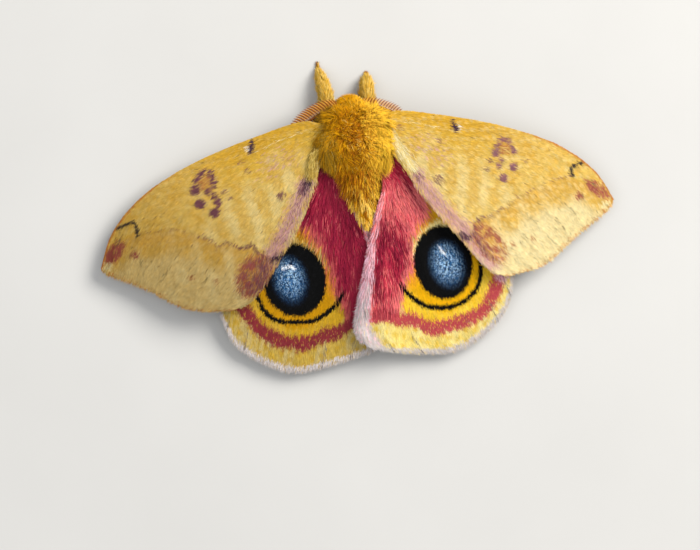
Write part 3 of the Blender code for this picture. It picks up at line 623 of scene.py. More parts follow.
def forePaint(side, q, s, t, draw=None):
    marks, left = foreMarks[side], side > 0
    if draw is not None:
        q = q + draw.normal(0, 0.07, q.shape)    # ragged edges
    out, back = q.T
    colours, wash, dab = paintBox(foreInk, "gold", len(q), draw)
    slow, fine, bold = ripple(q, 5.0, 11), ripple(q, 0.9, 12), ripple(q, 3.2, 17)
    # how far each place lies behind the scalloped line, which turns forward near the tip
    beyond = back - np.interp(out, *np.array(sorted(marks["post"])).T)
    beyond = np.where(out > 29.4, back - 7.8 - 0.5 * (out - 29.4), beyond)
    middle = fade(0.22, 0.6, t + 0.06 * slow) * fade(0.05, 0.3, s)
    wash("deepGold", 0.6 * fade(0.35, 0.05, t) * fade(0.85, 0.6, s))
    wash("pale", 0.85 * middle)
    wash("pale", 0.55 * fade(0.35, 0.62, s) * (beyond < 0))
    wash("ochre", fade(-0.3, 0.5, beyond) * 0.95)
    wash("orange", 0.16 * fade(0.0, 0.4, beyond) * fade(2.6, 0.8, beyond))
    # the pale outer zone is fainter on the left wing: painted shade
    wash("outer", fade(1.6, 4.6, beyond + 0.5 * slow) * (0.55 if left else 0.9))
    wash("cream", (0.16 if left else 0.3) * fade(0.1, 0.9, fine))
    wash("deepGold", 0.34 * fade(0.1, 1.0, ripple(q, 1.5, 15)) * (beyond < 0))
    wash("deepGold", 0.32 * fade(0.1, 0.9, bold) * (beyond < 0))
    wash("cream", 0.3 * fade(0.1, 0.9, -bold) * middle)
    # the cream fold behind the costa and the pale edge towards the body
    fold = [(5.2, -2.3), (9.8, -1.2), (13.0, -0.2)]
    dab("cream", 0.32 * stroke(q, fold, 0.2, 0.8))
    dab("cream", (0.3 if left else 0.7) * stroke(q, marks["cream"], 1.1, 0.9))
    dab("lilac", 0.4 * blob(q, marks["blush"], (2.6, 1.6), 30, 0.7) * fade(-0.2, 0.8, fine))
    # lilac band along the inner margin, darker at both ends
    dab("lilac", 0.85 * stroke(q, marks["lilac"], 1.9, 0.95))
    dab("dusky", 0.22 * stroke(q, marks["lilac"], 1.9, 0.95) * left)
    patchy = 0.55 + 0.45 * fade(-0.4, 0.4, ripple(q, 0.8, 16))
    strong = 0.95 if left else 0.55
    rootPatch = blob(q, marks["lilac"][0], (0.62, 1.1), -25, 0.5)
    dab("darkPurple" if left else "purple", strong * patchy * rootPatch)
    # the scalloped line, darkest at its inner end
    strength = np.interp(out, (12, 15, 18, 21, 26, 29.5), (1.0, 0.9, 0.6, 0.38, 0.18, 0.3))
    dab("purple", strength * stroke(q, marks["post"], 0.34, 0.7))
    dab("darkPurple", 0.85 * blob(q, marks["post"][-1], (1.3, 0.55), 10, 0.6))
    # cell mark, a broken arch with spots below it
    mark, wide = ("purple", 1.0) if left else ("dusky", 0.88)
    dab("brown", 0.55 * blob(q, marks["interior"], (0.85, 1.15), 0, 0.4))
    dab(mark, patchy * stroke(q, marks["arch"], 0.8 * wide, 0.5))
    dab(mark, blob(q, marks["lobe"], np.array((0.66, 0.64)) * wide, 0, 0.35))
    dab(mark, patchy * stroke(q, marks["chain"], 0.95 * wide, 0.4))
    for centre in marks["spots"]:
        dab(mark, blob(q, centre, np.array((0.72, 0.68)) * wide, 0, 0.3))
    for centre in marks["specks"]:
        dab("purple", 0.5 * blob(q, centre, (0.36, 0.36), 0, 0.5))
    dab("purple", 0.6 * blob(q, marks["spot"], (0.62, 0.6), 0, 0.5))
    dab("purple", 0.9 * strong * patchy * stroke(q, marks["basal"], 0.75, 0.7))
    dab("darkPurple", stroke(q, marks["dash"], 0.7, 0.4))
    dab("white", 0.8 * stroke(q, marks["dashWhite"], 0.32, 0.6))
    # beyond the line: tornal patch, apical patch and spots
    centre, size, turn = marks["tornal"]
    patch = blob(q, centre, size, turn, 0.35)
    dab("orange", (0.95 if left else 0.6) * patch)
    rosy = fade(-0.9, 0.6, ripple(q, 1.6, 13) + 0.5 * np.hypot(*(q - centre).T) - 0.5)
    dab("maroon", (0.95 if left else 0.65) * patch * rosy)
    inward = fade(-0.4, 1.2, centre[0] - out + 0.3 * (back - centre[1]))
    dab("purple", (0.6 if left else 0.45) * patch * inward)
    dab("dusky", 0.35 * patch * left)
    centre, size, turn = marks["apical"]
    dab("maroon", (0.92 if left else 0.8) * blob(q, centre, size, turn, 0.35))
    dab("cream", 0.8 * blob(q, (33.9, 12.3), (0.7, 0.6), 0, 0.6))
    dab("maroon", 0.8 * blob(q, marks["apicalSpot"], (0.5, 0.55), 30, 0.5))
    dab("ash", 0.4 * blob(q, marks["apicalDash"], (0.22, 0.5), 20, 0.5))
    for centre in marks["far"]:
        dab("brown", 0.5 * blob(q, centre, (0.4, 0.4), 0, 0.6))
    dab("hook", 0.95 * stroke(q, marks["hook"], 0.48, 0.4))
    # rusty rim of the costa towards the tip, and grey dashes where the veins reach the margin
    dab("rust", 0.8 * fade(0.02, 0.004, t) * fade(0.5, 0.7, s))
    crest = veinNearness("fore", t, 0.005)[0]
    broken = fade(0.0, 0.5, ripple(np.column_stack([s * 40, t * 9]), 5.0, 14))
    dab("ash", 0.4 * crest * fade(0.62, 0.8, s) * (s < 0.98) * broken)
    dab("rust", 0.4 * fade(0.97, 0.995, s))
    if draw is not None:
        dab("hook", np.full(len(q), 0.003))    # a few dark scales
    # painted shade: the left wing darker and browner towards the margin, as in its own shade; painted light:
    # the right one lighter there
    outward = fade(9, 26 if left else 22, 0.55 * out + 0.7 * back)[:, None]
    if left:
        colours *= (0.76 - 0.3 * outward) * (1 + outward * (0.03, -0.03, -0.16))
    else:
        colours *= 0.78 + 0.08 * outward
    return vary(colours, draw, 0.09, 0.03)


# Marks on the hindwings: the eyespot and the bands round it

hindMarks = {
    1: {
        "spot": ((9.6, 17.05), (4.2, 4.85), 6), "pupil": ((10.2, 17.0), (2.1, 2.95), 8),
        "glint": [(11.0, 15.4), (10.3, 15.2), (9.4, 15.6)],
        "arc": [(15.0, 17.9), (14.7, 18.9), (14.1, 20.5), (13.0, 21.8), (11.1, 22.5), (9.3, 22.7),
                (7.7, 22.7), (6.1, 22.1), (4.9, 21.3), (3.9, 20.4), (3.4, 19.6)],
        "band": [(17.6, 18.6), (17.0, 19.6), (16.3, 20.9), (15.5, 22.2), (14.5, 23.4), (13.3, 24.4),
                 (11.8, 25.1), (10.3, 25.4), (8.8, 25.3), (7.3, 25.2), (5.6, 24.6), (4.1, 24.2),
                 (2.5, 23.8), (0.8, 23.2)],
        "edge": [(10.8, 4.0), (10.2, 7.5), (9.2, 9.3), (7.8, 10.6), (6.9, 11.9), (6.0, 13.2), (5.3, 14.6),
                 (4.8, 16.0), (4.6, 19.1), (4.0, 20.7), (3.4, 23.0)],
    },
    -1: {
        "spot": ((10.5, 17.2), (4.0, 4.95), -4), "pupil": ((11.0, 17.5), (2.2, 2.9), -10),
        "glint": [(10.2, 15.1), (10.5, 15.7), (10.9, 16.2)],
        "arc": [(4.2, 19.6), (4.8, 20.2), (5.5, 21.1), (6.5, 22.0), (7.6, 22.7), (8.9, 23.1), (10.5, 23.2),
                (11.9, 23.0), (13.3, 22.4), (14.5, 21.4), (15.2, 20.1), (15.6, 18.4), (15.6, 17.0)],
        "band": [(0.6, 23.2), (3.0, 23.6), (4.7, 24.0), (5.8, 24.5), (7.1, 25.2), (8.4, 25.6), (10.2, 25.7),
                 (11.8, 25.5), (13.5, 25.1), (14.9, 24.5), (16.2, 23.4), (17.1, 21.9), (17.6, 20.6),
                 (18.1, 19.0)],
        "edge": [(9.0, 3.0), (9.4, 7.8), (9.3, 10.1), (8.5, 11.3), (7.6, 12.1), (6.9, 13.6), (6.4, 15.3),
                 (6.1, 17.5), (5.2, 19.1), (4.6, 20.6), (4.2, 22.8)],
    },
}
hindInk = {
    "yellow": "EFCF5C", "paleYellow": "F3E29C", "dimYellow": "B8A060", "gold": "E2A808", "band": "E8BC2C",
    "crimson": "B0263F", "darkCrimson": "98203A", "duskRose": "B04E4C", "deep": "701029", "rose": "E0706E",
    "pink": "E4B2BC", "orange": "DA7C38", "red": "B04048", "darkRed": "7C2630", "black": "030304",
    "night": "0D1D34", "blue": "3E78B2", "paleBlue": "B4D4EA", "white": "F6F8FA", "grey": "BFB5B1",
    "ash": "6F655C",
}
crimsonFoot = 24.0


def insideEdge(side, q):
    # how far in mm each place lies inside the crimson field's outer edge
    back, out = np.array(sorted((back, out) for out, back in hindMarks[side]["edge"])).T
    return np.interp(q[:, 1], back, out) - q[:, 0]


def hindPaint(side, q, s, t, draw=None):
    marks, left = hindMarks[side], side > 0
    if draw is not None:
        q = q + draw.normal(0, 0.1, q.shape)    # ragged edges
    back = q[:, 1]
    colours, wash, dab = paintBox(hindInk, "band", len(q), draw)
    along = ripple(np.column_stack([t * 60, s * 4]), 2.5, 21)    # streaks that run with the hairs
    slow = ripple(q, 6.0, 22)
    wash("yellow", 0.35 * fade(-0.4, 0.8, along))
    spotCentre, spotSize, spotTurn = marks["spot"]
    away = q - spotCentre
    ring = np.hypot(*(away / spotSize).T)
    wash("gold", fade(1.45, 1.25, ring + 0.05 * along))
    # pale margin outside the red band
    outside = fade(0.0, 0.5, distanceTo(q, marks["band"]) * np.sign(np.hypot(*(away / (8.1, 8.6)).T) - 1))
    wash("yellow", outside)
    wash("paleYellow", outside * fade(-0.5, 0.8, along) * 0.6)
    wash("paleYellow", outside * 0.35 * (not left))
    wash("band", 0.65 * outside * fade(0.2, 0.9, ripple(q, 1.5, 24)))
    # the left wing is in its own shade
    colours *= ((0.6 - 0.09 * outside) if left else (0.94 - 0.1 * outside))[:, None]
    if left:
        colours *= (1.05, 0.97, 1.0)
    # crimson field from the root to the red band, rosy and then orange towards its edge
    inside = insideEdge(side, q)
    field = fade(-0.7, 0.5, inside + 0.5 * along) * fade(0.3, -0.25, back - crimsonFoot)
    wash("orange", fade(-1.6 if left else -2.2, 0.1, inside + 0.5 * along) * 0.8 * fade(22, 18, back))
    # the left wing, in its own shade, takes darker copies of the rose, pale yellow, crimson and red: painted
    # shade
    dab("duskRose" if left else "rose", field)
    above = fade(0.0, 2.5, spotCentre[1] - back) * fade(1.22, 1.05, ring + 0.05 * along)
    dab("dimYellow" if left else "paleYellow", 0.6 * above)
    depth = fade(0.3, 1.8, inside + 0.7 * along) * field
    rosy = 0.0 if left else (0.9 - 0.85 * bell(back, 16.5, 6.0)) * fade(4.5, 8.5, back)
    dab("darkCrimson" if left else "crimson", depth * (0.97 - rosy))
    dark = fade(-0.1, 1.0, along + 0.5 * slow) * depth
    dab("deep", (0.4 if left else 0.45 - 0.35 * rosy) * dark)
    dab("rose", (0.2 if left else 0.35) * depth * fade(0.2, 1.0, -along))
    ragged = q + np.column_stack([0 * along, 0.3 * along])
    dab("darkRed" if left else "red", 0.94 * stroke(ragged, marks["band"], 1.8, 0.45))
    if not left:
        # painted shade in the crease beside the rolled inner edge and in the dark patch next to it
        crease = stroke(q, [(2.6, 11.5), (1.6, 15.0), (0.9, 18.0), (1.0, 20.5)], 1.5, 0.8)
        dab("deep", 0.7 * crease)
        dab("deep", 0.65 * blob(q, (4.1, 14.7), (1.5, 3.2), -12, 0.8) * field)
        dab("pink", 0.7 * blob(q, (18.4, 19.8), (1.0, 1.0), 0, 0.5))
    # eyespot: black disc, speckled blue pupil with a white glint, thin black arc
    dab("black", stroke(q, marks["arc"], 0.64, 0.2))
    dab("black", blob(q, spotCentre, spotSize, spotTurn, 0.035))
    pupilCentre, pupilSize, pupilTurn = marks["pupil"]
    pupil = blob(q, pupilCentre, pupilSize, pupilTurn, 0.3)
    wash("night", pupil)
    speckle = np.clip(0.5 + 0.5 * ripple(q, 0.35, 23), 0, 1) if draw is None else draw.random(len(q))
    bright = blob(q, np.array(pupilCentre) + (0.0, -0.4), (1.5, 2.1), pupilTurn, 0.8)
    lit = 0.0 if left else 0.08    # the right one faces the light
    wash("blue", pupil * (0.12 + 0.6 * bright + lit) * fade(0.25, 0.45, speckle))
    wash("paleBlue", pupil * (0.04 + 0.8 * bright + lit) * fade(0.72 - lit, 0.8 - lit, speckle))
    dab("white", 0.85 * stroke(q, marks["glint"], 0.28, 0.4))
    # pale inner margin, grey-white fringe and dark vein ends
    fromEdge = distanceTo(q, wingShape["hindInner"][side])
    edgeWidth = np.interp(back, (8, 14, 20, 26), (0.15, 0.55, 1.3, 1.9)) if not left else 0.35
    rim = fade(edgeWidth * 1.3, edgeWidth * 0.7, fromEdge) * fade(6.5, 9.0, back)
    dab("pink", rim * 0.85)
    dab("rose", 0.45 * rim * fade(17.0, 12.0, back))
    dab("grey", rim * fade(17, 24, back) * 0.8)
    dab("grey", fade(0.965, 0.985, s) * 0.9)
    crest = veinNearness("hind", t, 0.006)[0]
    dab("ash", 0.55 * crest * fade(0.88, 0.93, s) * (along > -0.2))
    return vary(colours, draw, 0.1, 0.03)


painters = {"fore": forePaint, "hind": hindPaint}


def wingPlaces(u, v, face):
    # the unwrap: the upper side fills the left half of the square, the underside the right half
    return np.column_stack([0.01 + (0 if face > 0 else 0.5) + 0.48 * u, 0.01 + 0.98 * v])


def wingSkin(kind, side, word):
    across, along = wingShape["grid"][kind]
    bpy.ops.mesh.primitive_grid_add(x_subdivisions=across, y_subdivisions=along, size=1)
    skin = bpy.context.object
    skin.name = skin.data.name = f"{kind}wingSkin{word}"
    v, u = vertexPlaces(skin).T[:2] + 0.5
    surface, plan = wingSurface(kind, side, 0)
    fill(skin.data.vertices, "co", toScene(surface(u, v)[0]))
    corners = np.empty(len(skin.data.loops), np.int32)
    skin.data.loops.foreach_get("vertex_index", corners)
    skin.data.uv_layers[0].name = "OFBake"
    fill(skin.data.uv_layers["OFBake"].uv, "vector", wingPlaces(u, v, 1)[corners])
    s = v * wingReach
    paintMesh(skin.data, painters[kind](side, plan(s, u), s, u))
    skin.data.materials.append(membrane)
    editWhole(skin, bpy.ops.mesh.normals_make_consistent, inside=False)
    if sum(face.normal.z for face in skin.data.polygons) < 0:
        skin.data.flip_normals()
    applyModifier(skin, "SOLIDIFY", thickness=wingShape["membrane"] * mm, offset=0.0)
    moveUndersideUnwrap(skin)
    skin.data.shade_smooth()
    place(skin, f"{kind}wing_scales", f"{kind}wing_{word.lower()}")
    print(f"{skin.name}: {len(skin.data.polygons)} faces")


def moveUndersideUnwrap(skin):
    # the underside's faces take the right half of the unwrap
    layer = skin.data.uv_layers["OFBake"].uv
    flat = np.empty(len(layer) * 2, np.float32)
    layer.foreach_get("vector", flat)
    flat = flat.reshape(-1, 2)
    for face in skin.data.polygons:
        if face.normal.z < 0:
            flat[face.loop_start:face.loop_start + face.loop_total, 0] += 0.5
    layer.foreach_set("vector", flat.ravel())


wingCoat = {
    "count": {"fore": 26500, "hind": 23500}, "lift": 0.085,
    "faces": {1: {"share": 1.0, "length": 1.05, "width": 0.11},    # upper side, then underside
              -1: {"share": 0.08, "length": 1.6, "width": 0.42}},
    "fringeCount": {"fore": 1900, "hind": 2700}, "fringeLength": {"fore": 0.48, "hind": 0.9},
    "fringeWidth": 0.09,
}


def finelyScaled(side, q):
    # the scales are smallest round the eyespot and along the red band
    centre, size, turn = hindMarks[side]["spot"]
    around = blob(q, centre, np.array(size) * 1.6, turn, 0.1)
    return np.maximum(around, stroke(q, hindMarks[side]["band"], 2.8, 0.4))


def wingRoots(kind, side, face, count, seed, thin):
    # roots spread over a wing's face: shares along it, places in its plan, points, normals and lie
    surface, plan = wingSurface(kind, side, face)
    u, v = scatter(surface, count, seed, lambda u, v: thin(plan(v * wingReach, u), u, v))
    return surface, u, v, plan(v * wingReach, u), *unrollTo(surface, u, v)[:3]


def seenColours(kind, side, surface, u, v, q, lie, length, draw):
    # a tuft shows by its outer part, so it takes the wing's colour from there
    reach = 0.6 * length
    span = np.linalg.norm(surface(u, 0 * u + 1)[0] - surface(u, 0 * u)[0], axis=1)
    seen = q + reach[:, None] * lie[:, :2] * (side, 1)
    return painters[kind](side, seen, np.minimum(v * wingReach + reach / span, 1), u, draw)


def wingTufts(kind, side, word):
    # scale tufts over both faces, roots towards the body and tips over the next row
    parts = []
    for face, look in wingCoat["faces"].items():
        def density(q, u, v):
            if face < 0:
                return (np.abs(u - 0.5) < 0.46) * (v < 0.92)
            return 1.0 if kind == "fore" else 1 + 1.5 * finelyScaled(side, q)

        count, seed = int(wingCoat["count"][kind] * look["share"]), 31 + side + 5 * face
        surface, u, v, q, roots, normal, lie = wingRoots(kind, side, face, count, seed, density)
        draw = np.random.default_rng(41 + side + 3 * face)
        inEdge = fade(0.0, 0.05, u) * fade(0.0, 0.03, 1 - u)    # close-laid along both edges
        lie = turned(lie, normal, (0.12 * ripple(q, 3.0, 42) + draw.normal(0, 0.13, len(u))) * inEdge)
        length, width = cut(look, draw, len(u), length=(0.7, 1.25), width=(0.7, 1.3))
        if kind == "hind":
            centre, size, turn = hindMarks[side]["spot"]
            near = finelyScaled(side, q)
            grainy = blob(q, centre, np.array(size) * 0.8, turn, 0.1)
            length *= 1 - 0.5 * near - 0.27 * grainy
            width *= 1 - 0.15 * near + 0.25 * grainy
        length *= (1 - 0.4 * fade(0.9, 1.0, v * wingReach)) * (0.6 + 0.4 * inEdge)
        lift = wingCoat["lift"] * draw.uniform(0.6, 1.4, len(u)) * (0.5 + 0.5 * inEdge)
        colours = seenColours(kind, side, surface, u, v, q, lie, length, draw)
        curve = bendTufts(roots, normal, lie, length, lift)
        parts.append((*curve, normal, width, colours, wingPlaces(u, v, face)))
    start, middle, end, normal, width, colours, places = [np.concatenate(part) for part in zip(*parts)]
    growTufts(f"{kind}wingScales{word}", f"{kind}wing_scales", (start, middle, end), normal, width, colours,
              (0.9, 1.04), places, wingScales, flatness=0.25, softness=0.78)


def combHair(name, kind, side, mask, look):
    # longer hair over part of a wing's upper face in the wing's colours; a turn leans it to the inner margin
    surface, u, v, q, roots, normal, lie = wingRoots(kind, side, 1, look["count"], look["seed"] + side, mask)
    draw = np.random.default_rng(look["seed"] + 7 + side)
    lie = turned(lie, normal, side * look["turn"] + 0.16 * ripple(q, 3.5, 53) + draw.normal(0, 0.1, len(u)))
    length, width, lift = cut(look, draw, len(u), length=(0.6, 1.2), width=(0.7, 1.3), lift=(0.4, 1.3))
    colours = seenColours(kind, side, surface, u, v, q, lie, length, draw)
    curve = clump(bendTufts(roots, normal, lie, length, lift), 0.12, 0.35, look["seed"] + 9)
    growTufts(name, f"{kind}wing_scales", curve, normal, width, colours, look["shades"], wingPlaces(u, v, 1),
              wingHair, look["rings"], 0.5)


def edgeHair(name, kind, side, path, look):
    # hair combed along a path on the wing's upper face
    count, seed = look["count"], look["seed"]
    draw = np.random.default_rng(seed)
    line = pathThrough(path)
    share = draw.random(count)
    ahead = heading(line, share)
    sideways = np.column_stack([-ahead[:, 1], ahead[:, 0]])
    q = line(share) + sideways * draw.normal(0, 0.5 * look["spread"], count)[:, None]
    turn = look["turn"] + draw.normal(0, 0.16, count)
    flat = ahead * np.cos(turn)[:, None] + sideways * np.sin(turn)[:, None]
    length, lift = cut(look, draw, count, length=(0.6, 1.2), lift=(0.4, 1.3))
    up = upright(count)
    spots = []
    for reach, rise in ((0.0, -0.05), (0.45, 0.9), (0.97, 0.6)):
        at = q + flat * length[:, None] * reach
        height = wingHeight(kind, side, at) + wingShape["membrane"] / 2 + 0.06 + lift * rise
        spots.append(np.column_stack([side * at[:, 0], at[:, 1], height]))
    colours = np.array([linear(code) for code in look["codes"]])[draw.integers(0, len(look["codes"]), count)]
    colours = vary(colours, draw, 0.1, 0.03)
    places = wingPlaces(0.05 + 0.9 * draw.random(count), 0.05 + 0.9 * share, 1)
    width = look["width"] * draw.uniform(0.7, 1.3, count)
    growTufts(name, f"{kind}wing_scales", spots, up, width, colours, look["shades"], places, wingHair,
              (0.4,), 0.4, 0.6)


def wingFringe(kind, side, word):
    # hairs past the outer margin, and softer ones along the inner margin
    surface, plan = wingSurface(kind, side, 1)
    draw = np.random.default_rng(61 + side)
    count = wingCoat["fringeCount"][kind]
    u = np.concatenate([draw.uniform(0, 1, count), 1 - draw.uniform(0, 0.02, count)])
    v = np.concatenate([1 - draw.uniform(0, 0.02, count), draw.uniform(0.06, 0.97, count)])
    roots, normal, lie, _ = unrollTo(surface, u, v)
    roots = roots - (0, 0, 1) * draw.uniform(0, wingShape["membrane"], len(u))[:, None]
    sideways = unit(surface(u + 0.004, v)[0] - surface(u - 0.004, v)[0])
    outer = np.arange(len(u)) < count
    inward = np.where(outer, 0.0, draw.uniform(0.5, 1.0, len(u)))[:, None]
    lie = unit(lie * (1 - 0.5 * inward) + sideways * inward + draw.normal(0, 0.09, roots.shape))
    length = wingCoat["fringeLength"][kind] * draw.uniform(0.55, 1.15, len(u)) * np.where(outer, 1.0, 0.85)
    lift = draw.uniform(-0.06, 0.12, len(u))
    width = wingCoat["fringeWidth"] * draw.uniform(0.7, 1.3, len(u))
    s, t = np.where(outer, 0.995, v), np.clip(u, 0, 1)
    colours = painters[kind](side, plan(s, t), s, t, draw)
    curve = bendTufts(roots, normal, lie, length, lift)
    growTufts(f"{kind}wingFringe{word}", f"{kind}wing_scales", curve, normal, width, colours, (0.85, 1.05),
              wingPlaces(u, v, 1), wingHair)


for side, word in sides:
    for kind in ("fore", "hind"):
        wingSkin(kind, side, word)
        wingTufts(kind, side, word)
        wingFringe(kind, side, word)

# long crimson hair from the hindwing's root to the red band
crimsonHair = {"count": 5400, "seed": 51, "length": 2.1, "width": 0.12, "lift": 0.32, "turn": 0.0,
               "shades": (0.66, 1.1), "rings": (0.3, 0.68)}
# lilac and gold hair over the forewing's inner margin, and pale hair on the hindwing's rolled edge
marginHair = {"count": 1300, "seed": 55, "length": 1.25, "width": 0.1, "lift": 0.16, "turn": 0.4,
              "shades": (0.8, 1.1), "rings": (0.4,)}
for side, word in sides:
    def inCrimson(q, u, v):
        return fade(0.1, 1.3, insideEdge(side, q)) * fade(22.5, 20.0, q[:, 1])

    def onInnerMargin(q, u, v):
        return fade(0.84, 0.93, u) * fade(0.1, 0.2, v) * fade(0.92, 0.8, v)

    def onRim(q, u, v):
        depth = np.interp(q[:, 1], (9, 14, 20), (0.5, 0.8, 1.3))
        return (distanceTo(q, wingShape["hindInner"][side], 20) < depth) * (q[:, 1] > 9.0) * (v < 0.97)

    combHair(f"hindwingHair{word}", "hind", side, inCrimson, crimsonHair)
    combHair(f"forewingInnerHair{word}", "fore", side, onInnerMargin, marginHair)
    if side < 0:
        combHair("hindwingRimHair", "hind", side, onRim, {**marginHair, "turn": 0.15, "seed": 57})
# loose hair over each forewing's root
baseTuft = {"count": 900, "seed": 121, "spread": 0.45, "length": 1.4, "lift": 0.7, "turn": 0.0,
            "width": 0.075, "shades": (0.5, 1.0), "codes": ("C9A850", "B8963E", "947430", "D9BC6A")}
paleTuft = {**baseTuft, "seed": 122, "spread": 0.6, "lift": 0.3,
            "codes": ("EEDCA4", "E8CE86", "F1E4BC", "E2C36E")}
edgeHair("baseTuftLeft", "fore", 1, [(4.6, 0.2), (5.4, 1.6), (5.9, 3.4)], baseTuft)
edgeHair("baseTuftRight", "fore", -1, [(4.6, -1.4), (5.6, 0.6), (6.5, 2.4), (7.5, 4.2)], paleTuft)
print("wings done")


# Body, in mm: the same forms as in the part's source, drawn in by the depth of the coat

bodyShape = {
    "thoraxCentre": (midline + 0.15, -0.3, 5.6), "thoraxSize": (4.65, 4.5, 3.4),
    "headCentre": (midline, -4.95, 4.5), "headSize": (1.95, 1.3, 1.6),
    # rearward place, centre height, half-width, half-height
    "abdomenRings": [(2.6, 4.1, 2.5, 2.2), (4.4, 3.9, 2.9, 2.5), (8.0, 3.45, 2.75, 2.3),
                     (12.5, 3.1, 2.35, 2.0), (16.5, 2.8, 1.8, 1.5), (19.2, 2.65, 1.05, 0.95),
                     (20.6, 2.6, 0.25, 0.25)],
    "foreLeg": [(1.6, -3.0, 2.6), (2.55, -5.4, 2.3), (2.65, -7.4, 2.0), (2.85, -9.4, 1.15),
                (2.95, -10.7, 0.5), (3.0, -11.6, 0.22)],
    "foreLegRadii": (0.8, 1.15, 1.0, 0.75, 0.36, 0.27), "rightForeLegShift": (0.45, 2.0),
    "midLeg": [(2.0, -0.8, 2.9), (4.6, -0.6, 3.4), (6.9, 0.3, 3.0), (8.3, 1.6, 1.3), (9.0, 2.6, 0.4),
               (9.7, 3.6, 0.22)],
    "midLegRadii": (0.8, 0.85, 0.7, 0.55, 0.32, 0.27),
    "hindLeg": [(1.7, 1.9, 2.8), (4.0, 4.2, 3.2), (5.6, 7.2, 2.7), (6.3, 10.2, 1.3), (6.6, 12.2, 0.4),
                (6.9, 14.0, 0.22)],
    "hindLegRadii": (0.8, 0.85, 0.75, 0.55, 0.32, 0.27),
    "palp": [(0.5, -5.45, 3.7), (0.6, -5.8, 3.1), (0.55, -5.8, 2.5)], "palpRadii": (0.42, 0.4, 0.26),
    "coreShare": 0.88, "legCore": 0.6, "palpCore": 0.7, "remesh": 0.14,
}


def ovalSurface(centre, size):
    # u turns round the top, v runs down from it
    def surface(u, v):
        polar, turn = math.pi * v, 2 * math.pi * u
        ball = np.column_stack([np.sin(polar) * np.sin(turn), -np.sin(polar) * np.cos(turn), np.cos(polar)])
        return ball * size + centre, ball / np.array(size)
    return surface


def abdomenSurface(u, v):
    rings = np.array(bodyShape["abdomenRings"])
    back = rings[0, 0] + (rings[-1, 0] - rings[0, 0]) * np.clip(v, 0, 1)
    height, wide, tall = [np.interp(back, rings[:, 0], rings[:, k]) for k in (1, 2, 3)]
    wide, tall = wide * bodyShape["coreShare"], tall * bodyShape["coreShare"]
    turn = 2 * math.pi * u
    outward = np.column_stack([np.sin(turn), 0 * turn, np.cos(turn)])
    return np.column_stack([midline + wide * np.sin(turn), back, height + tall * np.cos(turn)]), outward


def limbSurface(path, radii, side, core):
    knots = np.array([(midline + side * x, y, z) for x, y, z in path])
    along = np.concatenate([[0], np.cumsum(np.linalg.norm(np.diff(knots, axis=0), axis=1))])
    centre = pathThrough(knots)

    def surface(u, v):
        share = np.clip(v, 0, 1)
        forward = heading(centre, share)
        across = unit(np.cross(forward, (0, 0, 1)))
        above = np.cross(across, forward)
        radius = core * np.interp(share, along / along[-1], radii)[:, None]
        turn = (2 * math.pi * u)[:, None]
        outward = across * np.cos(turn) + above * np.sin(turn)
        return centre(share) + outward * radius, outward
    return surface


def legPath(kind, side):
    path = bodyShape[kind]
    if kind == "foreLeg" and side < 0:
        out, back = bodyShape["rightForeLegShift"]
        last = len(path) - 1
        path = [(x + out * (0.4 + 0.6 * i / last), y + back * i / last, z)
                for i, (x, y, z) in enumerate(path)]
    return path


def legForm(kind, side):
    return limbSurface(legPath(kind, side), bodyShape[kind + "Radii"], side, bodyShape["legCore"])


def palpForm(side):
    return limbSurface(bodyShape["palp"], bodyShape["palpRadii"], side, bodyShape["palpCore"])


legs = [(kind, side, word) for kind in ("foreLeg", "midLeg", "hindLeg") for side, word in sides]
ovals = {name: (bodyShape[name + "Centre"], np.array(bodyShape[name + "Size"]) * bodyShape["coreShare"])
         for name in ("thorax", "head")}


bodyInk = {"gold": "DE9C08", "bright": "F6BC34", "deep": "A05A02", "olive": "A88228", "brown": "784404",
           "straw": "E6BC5C"}
legInk = {"gold": "D9A93C", "light": "E8C66E", "tan": "B9742C"}


def bodyPaint(points, draw=None):
    # golden fur: browner along the middle of the back, olive on the left flank, partly painted shade, and
    # bright on the right as painted light
    x, y, z = points.T
    x = x - midline
    colours, _, dab = paintBox(bodyInk, "gold", len(points), draw)
    mottle = ripple(points, 1.6, 71)
    spine = bell(x, 0.4, 1.9) * fade(-5.0, -2.5, y) * fade(6.0, 8.0, z)
    dab("bright", fade(0.0, 2.2, -x))
    dab("olive", 0.6 * fade(2.2, 4.4, x + 0.4 * mottle))
    dab("deep", 0.85 * spine * fade(-0.5, 0.7, mottle))
    saddle = bell(x, 0.1, 2.0) * bell(y, -1.2, 2.6) * fade(6.0, 8.0, z)
    dab("deep", 0.55 * saddle * fade(-0.9, 0.2, ripple(points, 1.1, 74)))
    # painted shade: browner in the hollow at the rear left of the thorax
    hollow = bell(x, 1.0, 1.7) * bell(y, 2.0, 3.0) * fade(6.0, 7.5, z)
    dab("brown", 0.5 * hollow * fade(-0.3, 0.2, ripple(points, 1.0, 76)))
    tufty = fade(0.0, 0.8, ripple(points, 0.8, 73)) * (0.12 + 0.88 * spine)
    dab("brown", 0.7 * tufty)
    dab("straw", 0.16 * fade(0.3, 1.1, -mottle))
    dab("deep", 0.55 * fade(2.5, 4.5, y) * fade(9.5, 7.5, y))
    bunch = fade(-0.1, 0.6, ripple(points, 1.3, 75)) * fade(4.0, 6.0, y)
    dab("brown", 0.42 * bunch * (1 - 0.5 * fade(8.0, 11.0, y)))
    # painted light: brighter towards the rear right
    dab("bright", 0.6 * fade(4.5, 8.0, y - x) * (1 - bunch))
    dab("straw", 0.7 * fade(6.5, 10.5, y) * (1 - bunch))
    dab("brown", 0.1 + 0.2 * fade(4.0, 6.0, y) * fade(10, 8, y))
    return vary(colours, draw, 0.12, 0.04)


def legPaint(points, draw=None):
    colours, _, dab = paintBox(legInk, "gold", len(points), draw)
    dab("light", 0.25 + 0.25 * ripple(points, 1.2, 72))
    dab("tan", 0.7 * fade(0.9, 0.4, points[:, 2]))
    return vary(colours, draw, 0.11, 0.04)


def addOval(centre, size):
    bpy.ops.mesh.primitive_uv_sphere_add(segments=40, ring_count=28, radius=1, location=toScene(centre),
                                         scale=[s * mm for s in size])
    return bpy.context.object


